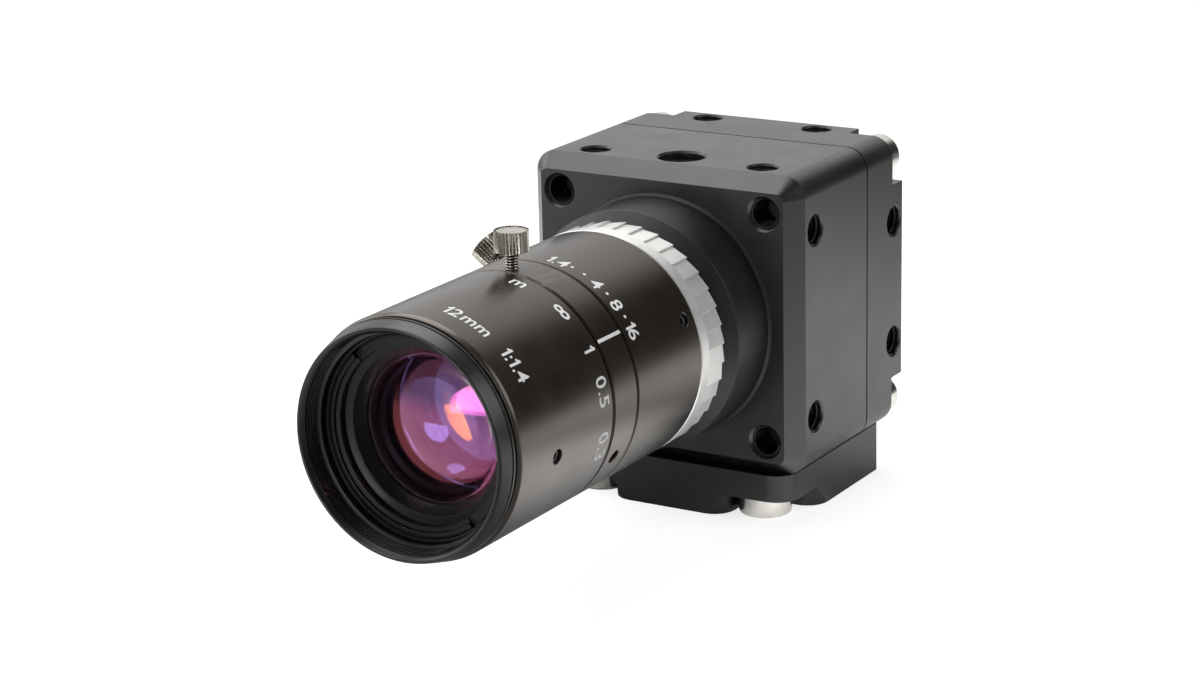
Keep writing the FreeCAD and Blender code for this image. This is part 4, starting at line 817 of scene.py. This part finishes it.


# Front rim: a separate ring of turned aluminium, black anodised and screwed into the focus ring's
# mouth. It has a groove round the outside, and a rounded mouth with the filter thread inside.
# The rim takes a darker, duller, untinted copy of the lens's black: painted shade that keeps it darker than
# the sleeves behind it.
shaded_rim_black = metal_finish("shaded_rim_black", anodised_dark, anodised_light, (0.30, 0.38),
                         grain_depth=0.002, marks=1.2)
rim_front, rim_rear = ends("front_rim")
rim_outside, rim_spigot, rim_shoulder = 14.62, 13.85, -58.45
rim_inside, rim_ledge = 13.0, 12.8
thread_floor, thread_crest = 13.42, 13.28
groove_front, groove_rear, groove_floor = -59.1, -58.85, 14.42
mouth_round = [(-60.93, 13.70), (rim_front, 13.82), (-60.97, 13.96), (-60.85, 14.10), (-60.5, 14.22)]
rim = turned("front_rim_ring", [
    (rim_shoulder, rim_outside), (rim_shoulder, rim_spigot), (rim_rear, rim_spigot), (rim_rear, rim_inside),
    (-57.5, rim_inside), (-57.5, rim_ledge), (-58.0, rim_ledge), (-58.0, thread_floor),
    (-60.1, thread_floor), (-60.1, thread_crest), (-60.3, thread_crest)] + mouth_round + [
    (groove_front, 14.60), (groove_front, groove_floor), (groove_rear, groove_floor),
    (groove_rear, rim_outside)])
smooth_off(rim, 0.05, angle=30)
dress(rim, shaded_rim_black, "focus", "lens_black", "front_rim")
filter_thread = thread_ridge("filter_thread_ridge", thread_crest, thread_floor + 0.02, 0.5, 4, sides=128)
filter_thread.data.transform(place_along((0, -60.15, 0), backward))
dress(filter_thread, shaded_rim_black, "focus", "lens_black")


# Set screws: headless steel screws with a hexagon socket and a black finish. They sit a little below
# the surface, and hold each ring to the piece under it.
grub_steel = metal_finish("grub_steel", (0.10, 0.10, 0.10), (0.16, 0.16, 0.16), (0.30, 0.42), metallic=1.0)
set_screw_top, set_screw_radius = 14.55, 0.85
set_screw_socket, set_screw_socket_depth = 0.52, 0.7


def set_screws(name, tip, y, angles):
    """Set screws round the lens at these angles, as one piece. The tip is its distance from the axis."""
    screw = rod(name, set_screw_radius, tip - set_screw_top, 0, 32)
    cut(screw, bore_cutter(set_screw_socket, set_screw_socket_depth, (0, 0, 0), up, sides=6))
    smooth_off(screw, 0.08)
    return copies(screw, name, [place_along(*round_place(angle, set_screw_top, y)) for angle in angles])


for name, tip, places, body, node in (
        ("iris_set_screws", 13.05, iris_screws, "iris", "iris_grub_screws"),
        ("index_set_screws", 13.75, index_screws, "camera", "index_grub_screws"),
        ("focus_set_screws", 13.05, focus_screws, "focus", "focus_grub_screws")):
    dress(set_screws(name, tip, **places), grub_steel, body, "grub_steel", node)


# Locking thumbscrews: brass, nickel plated, with straight knurled heads on thin threaded stems. Each
# one is turned in by hand until its tip holds its ring still.
thumb_nickel = metal_finish("thumb_nickel", (0.40, 0.38, 0.33), (0.54, 0.51, 0.45), (0.20, 0.30),
                            metallic=1.0, grain_size=0.6)
head_radius, head_low, head_high = 2.4, 17.0, 19.6
head_sides, groove_share = 60, 0.87      # every other corner of the head is the floor of a groove
end_share, end_rise = 0.9, 0.1           # the head's ends are drawn in and stand out a little
rim_width, dish_width, dish_depth, stem_step = 0.25, 0.5, 0.12, 1.2
stem_thread = {"crest": 0.86, "root": 0.70, "pitch": 0.35}
stem_thread_low = 14.15


def thumb_screw(name, stem_end, y, angles):
    """Thumbscrew that stands on the lens at an angle. Heights are distances from the lens axis."""
    screw = rod(name, head_radius, head_low, head_high, head_sides)
    for corner in screw.data.vertices:
        if round(math.degrees(math.atan2(corner.co.x, corner.co.y)) * head_sides / 360) % 2:
            corner.co.x *= groove_share
            corner.co.y *= groove_share
    pick(screw, "FACE", lambda middle, normal: abs(normal.z) > nearly)
    extrude(0)
    bpy.ops.mesh.select_all(action="DESELECT")
    bpy.ops.object.mode_set(mode="OBJECT")
    for way in (1, -1):
        pick(screw, "FACE", lambda middle, normal: normal.z * way > nearly)
        bpy.ops.transform.resize(value=(end_share, end_share, 1), center_override=(0, 0, 0))
        bpy.ops.transform.translate(value=(0, 0, end_rise * way * mm))
        bpy.ops.mesh.inset(thickness=rim_width * mm, depth=0)
        if way > 0:
            bpy.ops.mesh.inset(thickness=dish_width * mm, depth=-dish_depth * mm)
        else:
            bpy.ops.mesh.inset(thickness=stem_step * mm, depth=0)
            extrude(stem_end - (head_low - end_rise))
        bpy.ops.object.mode_set(mode="OBJECT")
    smooth_off(screw, 0.03, angle=25)
    thread = thread_ridge("stem_thread", turns=7, sides=24, **stem_thread)
    thread.data.transform(Matrix.Translation((0, 0, stem_thread_low * mm)))
    only(screw, thread)
    bpy.ops.object.join()
    screw.data.transform(place_along(*round_place(angles[0], 0.0, y)))
    return screw


dress(thumb_screw("focus_lock_thumbscrew", 13.75, **focus_lock), thumb_nickel, "focus_lock",
      "thumbscrew_nickel", "focus_lock_screw")
dress(thumb_screw("iris_lock_thumbscrew", 13.05, **iris_lock), thumb_nickel, "iris_lock",
      "thumbscrew_nickel", "iris_lock_screw")


# Scale markings: figures, dots and one line, engraved in the rings and filled with white paint. The
# paint is modelled, as thin shapes laid on the surface.
white_paint = metal_finish("white_paint", (0.74, 0.74, 0.73), (0.84, 0.84, 0.83), (0.45, 0.6),
                           grain_depth=0.004)
paint = 0.02                  # how far it stands out, which is half of its thickness
type_size, stroke_growth = 3.0, 0.03


def wrap_round(piece, angle, y):
    """Lay a flat mark round the lens: its X runs round the lens and its Y runs back along it."""
    for corner in piece.data.vertices:
        turn = math.radians(angle) + corner.co.x / (lens_radius * mm)
        reach = lens_radius * mm + corner.co.z
        corner.co = (reach * math.sin(turn), y * mm + corner.co.y, reach * math.cos(turn))


def figure(character, width):
    """Flat figure on its baseline, centred on X. A one gets a flag, and infinity is a lying eight."""
    if character == "1":
        mark = block("mark", (-0.02, 0, -paint), (0.34, 2.2, paint))
        flag = block("flag", (-0.40, -0.15, -paint), (0.34, 0.17, paint))
        flag.data.transform(Matrix.Translation((-0.02 * mm, 1.82 * mm, 0))
                            @ Matrix.Rotation(math.radians(42), 4, "Z"))
        only(mark, flag)
        bpy.ops.object.join()
    else:
        bpy.ops.object.select_all(action="DESELECT")
        bpy.ops.object.text_add(location=(0, 0, 0))
        text = bpy.context.object.data
        text.body = "8" if character == "infinity" else character
        text.size = type_size * mm
        text.extrude = paint * mm
        text.offset = stroke_growth * mm
        text.resolution_u = 6
        bpy.ops.object.convert(target="MESH")
        mark = named("mark")
    if character == "infinity":
        mark.data.transform(Matrix.Diagonal((1.0, 0.95, 1.0, 1.0)) @ Matrix.Translation((0, 0.35 * mm, 0))
                            @ Matrix.Rotation(math.radians(90), 4, "Z"))
    sides = [corner.co.x for corner in mark.data.vertices]
    left, right = min(sides), max(sides)
    for corner in mark.data.vertices:
        corner.co.x = (corner.co.x - (left + right) / 2) * width * mm / (right - left)
    return mark


def lettering(name, baseline, figures):
    """Figures of (character, angle, width) laid round the lens, as one piece."""
    made = []
    for character, angle, width in figures:
        mark = figure(character, width)
        wrap_round(mark, angle, baseline)
        made.append(mark)
    only(*made)
    bpy.ops.object.join()
    return named(name)


focal_row = lettering("focal_length_marks", -54.5, [
    ("1", 10.5, 0.70), ("2", 15.2, 1.30), ("m", 22.7, 1.80), ("m", 30.5, 1.75),
    ("1", 44.4, 0.70), (":", 47.5, 0.34), ("1", 50.3, 0.70), (".", 53.5, 0.34), ("4", 57.2, 1.40)])
dress(focal_row, white_paint, "focus", "lens_black")
distance_row = lettering("distance_marks", -40.5, [
    ("m", 13.9, 1.95), ("infinity", 38.6, 2.5), ("1", 59.6, 0.72),
    ("0", 75.4, 1.35), (".", 80.0, 0.36), ("5", 84.3, 1.30),
    ("0", 101.8, 1.35), (".", 106.4, 0.36), ("3", 110.7, 1.30)])
dress(distance_row, white_paint, "focus", "lens_black")
aperture_row = lettering("aperture_marks", -30.65, [
    ("1", 7.0, 0.72), (".", 10.0, 0.36), ("4", 14.0, 1.40), ("4", 33.3, 1.40), ("8", 46.9, 1.35),
    ("1", 58.3, 0.72), ("6", 62.4, 1.35)])
dress(aperture_row, white_paint, "iris", "lens_black")
dot_radius, dot_y, dot_angles = 0.22, -29.55, (18.8, 25.7, 40.0, 53.5)
dots = copies(rod("dot", dot_radius, -paint, paint, 20), "aperture_dots",
              [place_along(*round_place(angle, lens_radius, dot_y)) for angle in dot_angles])
dress(dots, white_paint, "iris", "lens_black")
line_half_width, line_half_length = 0.22, 2.5
index_line = block("index_line", (-line_half_width, -line_half_length, -paint),
                   (line_half_width, line_half_length, paint))
wrap_round(index_line, 58.5, -34.6)
dress(index_line, white_paint, "camera", "lens_black")


# Front cell and its rings: matt black aluminium round the front glass, with a ring that holds the
# glass in, slotted for a spanner, and a stepped baffle.
barrel_black = metal_finish("barrel_black", (0.003, 0.003, 0.0035), (0.005, 0.005, 0.0055), (0.30, 0.42),
                            marks=1.5, marks_spacing=0.00015, gloss=0.22)
cell_front, cell_rear = ends("lens_cell")
baffle_rim_front, baffle_end = ends("front_baffle")
baffle_rim_rear = -54.6
cell_tube, cell_mouth, ring_outside = 11.55, 12.4, 12.35
front_seat, second_seat, third_seat = -51.5, -45.5, -38.5
cell = turned("front_cell", [
    (cell_front, cell_mouth), (cell_front, barrel_radius), (-50.5, barrel_radius), (-50.5, cell_tube),
    (cell_rear, cell_tube), (cell_rear, 7.7), (third_seat, 7.7), (third_seat, 7.0), (-39.6, 7.0),
    (-39.6, 8.6), (second_seat, 8.6), (second_seat, 9.6), (front_seat, 9.6), (front_seat, 11.4),
    (baffle_rim_rear, 11.4), (baffle_rim_rear, cell_mouth)])
smooth_off(cell, 0.04)
dress(cell, barrel_black, "front_group", "barrel_black", "lens_cell")
retainer = turned("glass_retaining_ring", [
    (cell_front, 11.63), (cell_front, ring_outside), (baffle_rim_front, ring_outside),
    (baffle_rim_front, 11.05), (-56.5, 11.05), (-56.5, 11.63)])
slot_half_width, slot_floor, slot_angle = 0.8, -56.2, -40.0
spanner_slot = block("cutter", (-slot_half_width, cell_front - overrun, -14),
                     (slot_half_width, slot_floor, 14))
spanner_slot.data.transform(Matrix.Rotation(math.radians(slot_angle), 4, "Y"))
cut(retainer, spanner_slot)
smooth_off(retainer, 0.05)
dress(retainer, barrel_black, "front_group", "barrel_black", "front_retaining_ring")
baffle = turned("glass_baffle", [
    (baffle_rim_front, 11.3), (baffle_rim_front, ring_outside), (baffle_rim_rear, ring_outside),
    (baffle_rim_rear, 11.35), (baffle_end, 11.35), (baffle_end, 9.25), (-53.65, 9.25), (-55.12, 10.14),
    (-55.12, 10.44), (-55.42, 11.3)])
smooth_off(baffle, 0.04)
dress(baffle, barrel_black, "front_group", "barrel_black", "front_baffle")


# Lens elements: ground glass with thin coatings that reflect pink, rose, violet and amber, held in
# the front cell by its steps and rings.
def coated(name, tint, film, film_index, index=1.62):
    """Clear glass with a faint haze and a coating: its tint, its thickness in nanometres, its index."""
    material = bpy.data.materials.new(name)
    material.use_nodes = True
    tree = material.node_tree
    shader = tree.nodes["Principled BSDF"]
    shader.inputs["Metallic"].default_value = 0.0
    shader.inputs["Transmission Weight"].default_value = 1.0
    shader.inputs["IOR"].default_value = index
    shader.inputs["Specular Tint"].default_value = (*tint, 1)
    shader.inputs["Thin Film Thickness"].default_value = film
    shader.inputs["Thin Film IOR"].default_value = film_index
    shader.inputs["Base Color"].default_value = (0.98, 0.97, 1.0, 1)
    grain = tree.nodes.new("ShaderNodeGroup")
    grain.node_tree = etched_grain
    haze = ranged(tree, grain.outputs["Patches"], (0.45, 0.9), (0.02, 0.08))
    tree.links.new(haze, shader.inputs["Roughness"])
    return material


def glass_element(name, edge, planes, bulges, clear):
    """Ground glass element: two spherical faces with a flat rim round each. The planes of its rims,
    the bulges and the clear radii are given as (front, rear)."""
    def face(level, bulge, reach_out, way, steps=16):
        curve = (reach_out ** 2 + bulge ** 2) / (2 * bulge)
        spots = []
        for k in range(steps + 1):
            reach = max(reach_out * k / steps, 0.02)
            drop = abs(curve) - math.sqrt(curve ** 2 - reach ** 2)
            spots.append((level - way * (bulge - math.copysign(drop, bulge)), reach))
        return spots
    stations = face(planes[0], bulges[0], clear[0], 1) + [(planes[0], edge), (planes[1], edge)]
    stations += list(reversed(face(planes[1], bulges[1], clear[1], -1)))
    piece = turned(name, stations, closed=False, sides=96)
    only(piece)
    bpy.ops.object.shade_smooth_by_angle(angle=math.radians(30))
    return piece


def coat_rear(piece, material, level):
    """Give the faces behind a level their own coating."""
    piece.data.materials.append(material)
    for face in piece.data.polygons:
        if face.center.y > level * mm:
            face.material_index = 1


front_plane = -53.5
front_glass = glass_element("front_glass", 11.3, (front_plane, front_seat), (2.1, -1.9), (9.2, 8.5))
dress(front_glass, coated("pink_coating", (1.0, 0.45, 0.72), 262.0, 1.55, index=1.8), "front_group",
      "coated_glass", "front_lens")
coat_rear(front_glass, coated("rose_coating", (1.0, 0.25, 0.55), 0.0, 1.4, index=1.8), front_plane + 0.05)
second_glass = glass_element("second_glass", 9.5, (-47.5, second_seat), (1.2, 1.2), (8.6, 8.5))
dress(second_glass, coated("violet_coating", (0.45, 0.28, 1.0), 0.0, 1.38, index=1.7), "front_group",
      "coated_glass", "second_lens")
third_glass = glass_element("third_glass", 7.6, (third_seat, -36.0), (-0.8, 0.9), (6.8, 6.8))
dress(third_glass, coated("amber_coating", (1.0, 0.6, 0.4), 262.0, 1.38, index=1.95), "front_group",
      "coated_glass", "third_lens")


# Rear cable socket: a nickel plated brass shell with an outside thread, held in the rear cover by a
# hexagon nut, with a black moulded insert and gold plated contacts.
socket_nickel = metal_finish("socket_nickel", (0.52, 0.52, 0.50), (0.64, 0.64, 0.62), (0.20, 0.32),
                             metallic=1.0, marks=1.0)
shell_front, shell_rear = ends("cable_socket")
shell_bore, shell_flange, shell_neck, shell_thread = 4.2, 7.4, 6.2, 5.65
neck_end = 33.15
socket_shell = turned("socket_shell", [
    (shell_front, shell_bore), (shell_front, shell_flange), (cover_cavity_end, shell_flange),
    (cover_cavity_end, shell_neck), (neck_end, shell_neck), (neck_end, shell_thread), (37.7, shell_thread),
    (shell_rear, 5.3), (shell_rear, shell_bore)], sides=96)
smooth_off(socket_shell, 0.06)
dress(socket_shell, socket_nickel, "camera", "socket_nickel", "cable_socket")
socket_thread = thread_ridge("socket_thread_ridge", 6.0, 5.62, 1.0, 4, sides=64)
socket_thread.data.transform(place_along((0, neck_end + 0.15, 0), backward))
dress(socket_thread, socket_nickel, "camera", "socket_nickel")


def lying_rod(name, radius, node, sides):
    """Plain rod along the lens axis, as long as a CAD node."""
    front, rear = ends(node)
    bpy.ops.object.select_all(action="DESELECT")
    bpy.ops.mesh.primitive_cylinder_add(vertices=sides, radius=radius * mm, depth=(rear - front) * mm,
                                        location=(0, (front + rear) / 2 * mm, 0),
                                        rotation=(math.pi / 2, 0, 0))
    return named(name)


nut_across_flats = 15.0
nut = lying_rod("socket_hexagon_nut", nut_across_flats / math.sqrt(3), "socket_nut", 6)
cut(nut, bore_cutter(socket_hole, 4.0, (0, 34.15, 0), backward, sides=64))
smooth_off(nut, 0.25)
nut_steel = metal_finish("nut_steel", (0.46, 0.46, 0.46), (0.58, 0.58, 0.58), (0.22, 0.34), metallic=1.0)
dress(nut, nut_steel, "camera", "nut_steel", "socket_nut")
insert_rear = ends("socket_insert")[1]
insert = lying_rod("socket_contact_block", 4.15, "socket_insert", 64)
contact_spots = [round_place(45.0 * k, 3.1, insert_rear)[0] for k in range(8)]
contact_spots += [round_place(90.0 * k, 1.35, insert_rear)[0] for k in range(4)]
for spot in contact_spots:
    cut(insert, bore_cutter(0.4, 5.0, spot, backward, sides=24))
cut(insert, block("cutter", (-0.65, 20, 3.7), (0.65, 40, 5.0)))
smooth_off(insert, 0.05)
moulded_black = metal_finish("moulded_black", (0.014, 0.014, 0.015), (0.022, 0.022, 0.023), (0.32, 0.42),
                             grain_depth=0.006)
dress(insert, moulded_black, "camera", "chip_black", "socket_insert")


def refinish(material, *nodes):
    """Give CAD nodes that keep their modelled shape a new material."""
    for name in nodes:
        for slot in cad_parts[name].material_slots:
            slot.material = material


plated_gold = metal_finish("plated_gold", (0.78, 0.57, 0.24), (0.88, 0.66, 0.32), (0.20, 0.30), metallic=1.0,
                           grain_depth=0.002)
refinish(plated_gold, "socket_contacts")


# Status lamp: a small moulded light pipe of clear plastic, pressed into the rear cover. Its modelled
# shape stays, as do those of all the pieces below.
lamp_clear = metal_finish("lamp_clear", (0.55, 0.66, 0.55), (0.66, 0.76, 0.66), (0.12, 0.2),
                          grain_depth=0.002, coat=0.5)
refinish(lamp_clear, "status_led")


# Sensor and boards: three green circuit boards with a black chip and connectors, stacked on gold plated
# spacers with small screws, and a rubber seal that keeps dust off the sensor.
solder_mask = metal_finish("solder_mask", (0.01, 0.10, 0.04), (0.02, 0.17, 0.07), (0.25, 0.35),
                           grain_depth=0.01, coat=0.3)
refinish(solder_mask, "sensor_board", "main_board", "interface_board")
refinish(moulded_black, "processor_chip", "board_connectors", "image_sensor")
refinish(plated_gold, "board_spacers_front", "board_spacers_rear")
refinish(grub_steel, "board_screws")
refinish(rubber, "sensor_dust_seal")


# Filter and sensor glass: flat plates with a faint green coating. A threaded ring holds the filter in
# the lens mount, and the other plate is sealed on the sensor.
filter_glass = coated("filter_coating", (0.6, 1.0, 0.9), 300.0, 1.38, index=1.5)
refinish(filter_glass, "ir_filter", "sensor_cover_glass")
refinish(barrel_black, "filter_retaining_ring")


# Inside of the lens: a matt black aluminium barrel with a spacer, the rear cell and its ring, and the
# iris, whose six steel blades lie between a plate and the ring that turns them.
blade_steel = metal_finish("blade_steel", (0.03, 0.03, 0.03), (0.05, 0.05, 0.05), (0.4, 0.5), metallic=0.6)
refinish(barrel_black, "lens_barrel", "lens_spacer", "rear_cell", "rear_retaining_ring", "iris_base_plate",
         "iris_keeper_ring", "iris_cam_ring")
refinish(blade_steel, *["iris_blade_%d" % k for k in range(1, 7)])
refinish(grub_steel, "iris_drive_pin", "focus_guide_pin")
refinish(coated("rear_coating", (0.6, 0.5, 1.0), 360.0, 1.38), "rear_lens_front", "rear_lens_back")
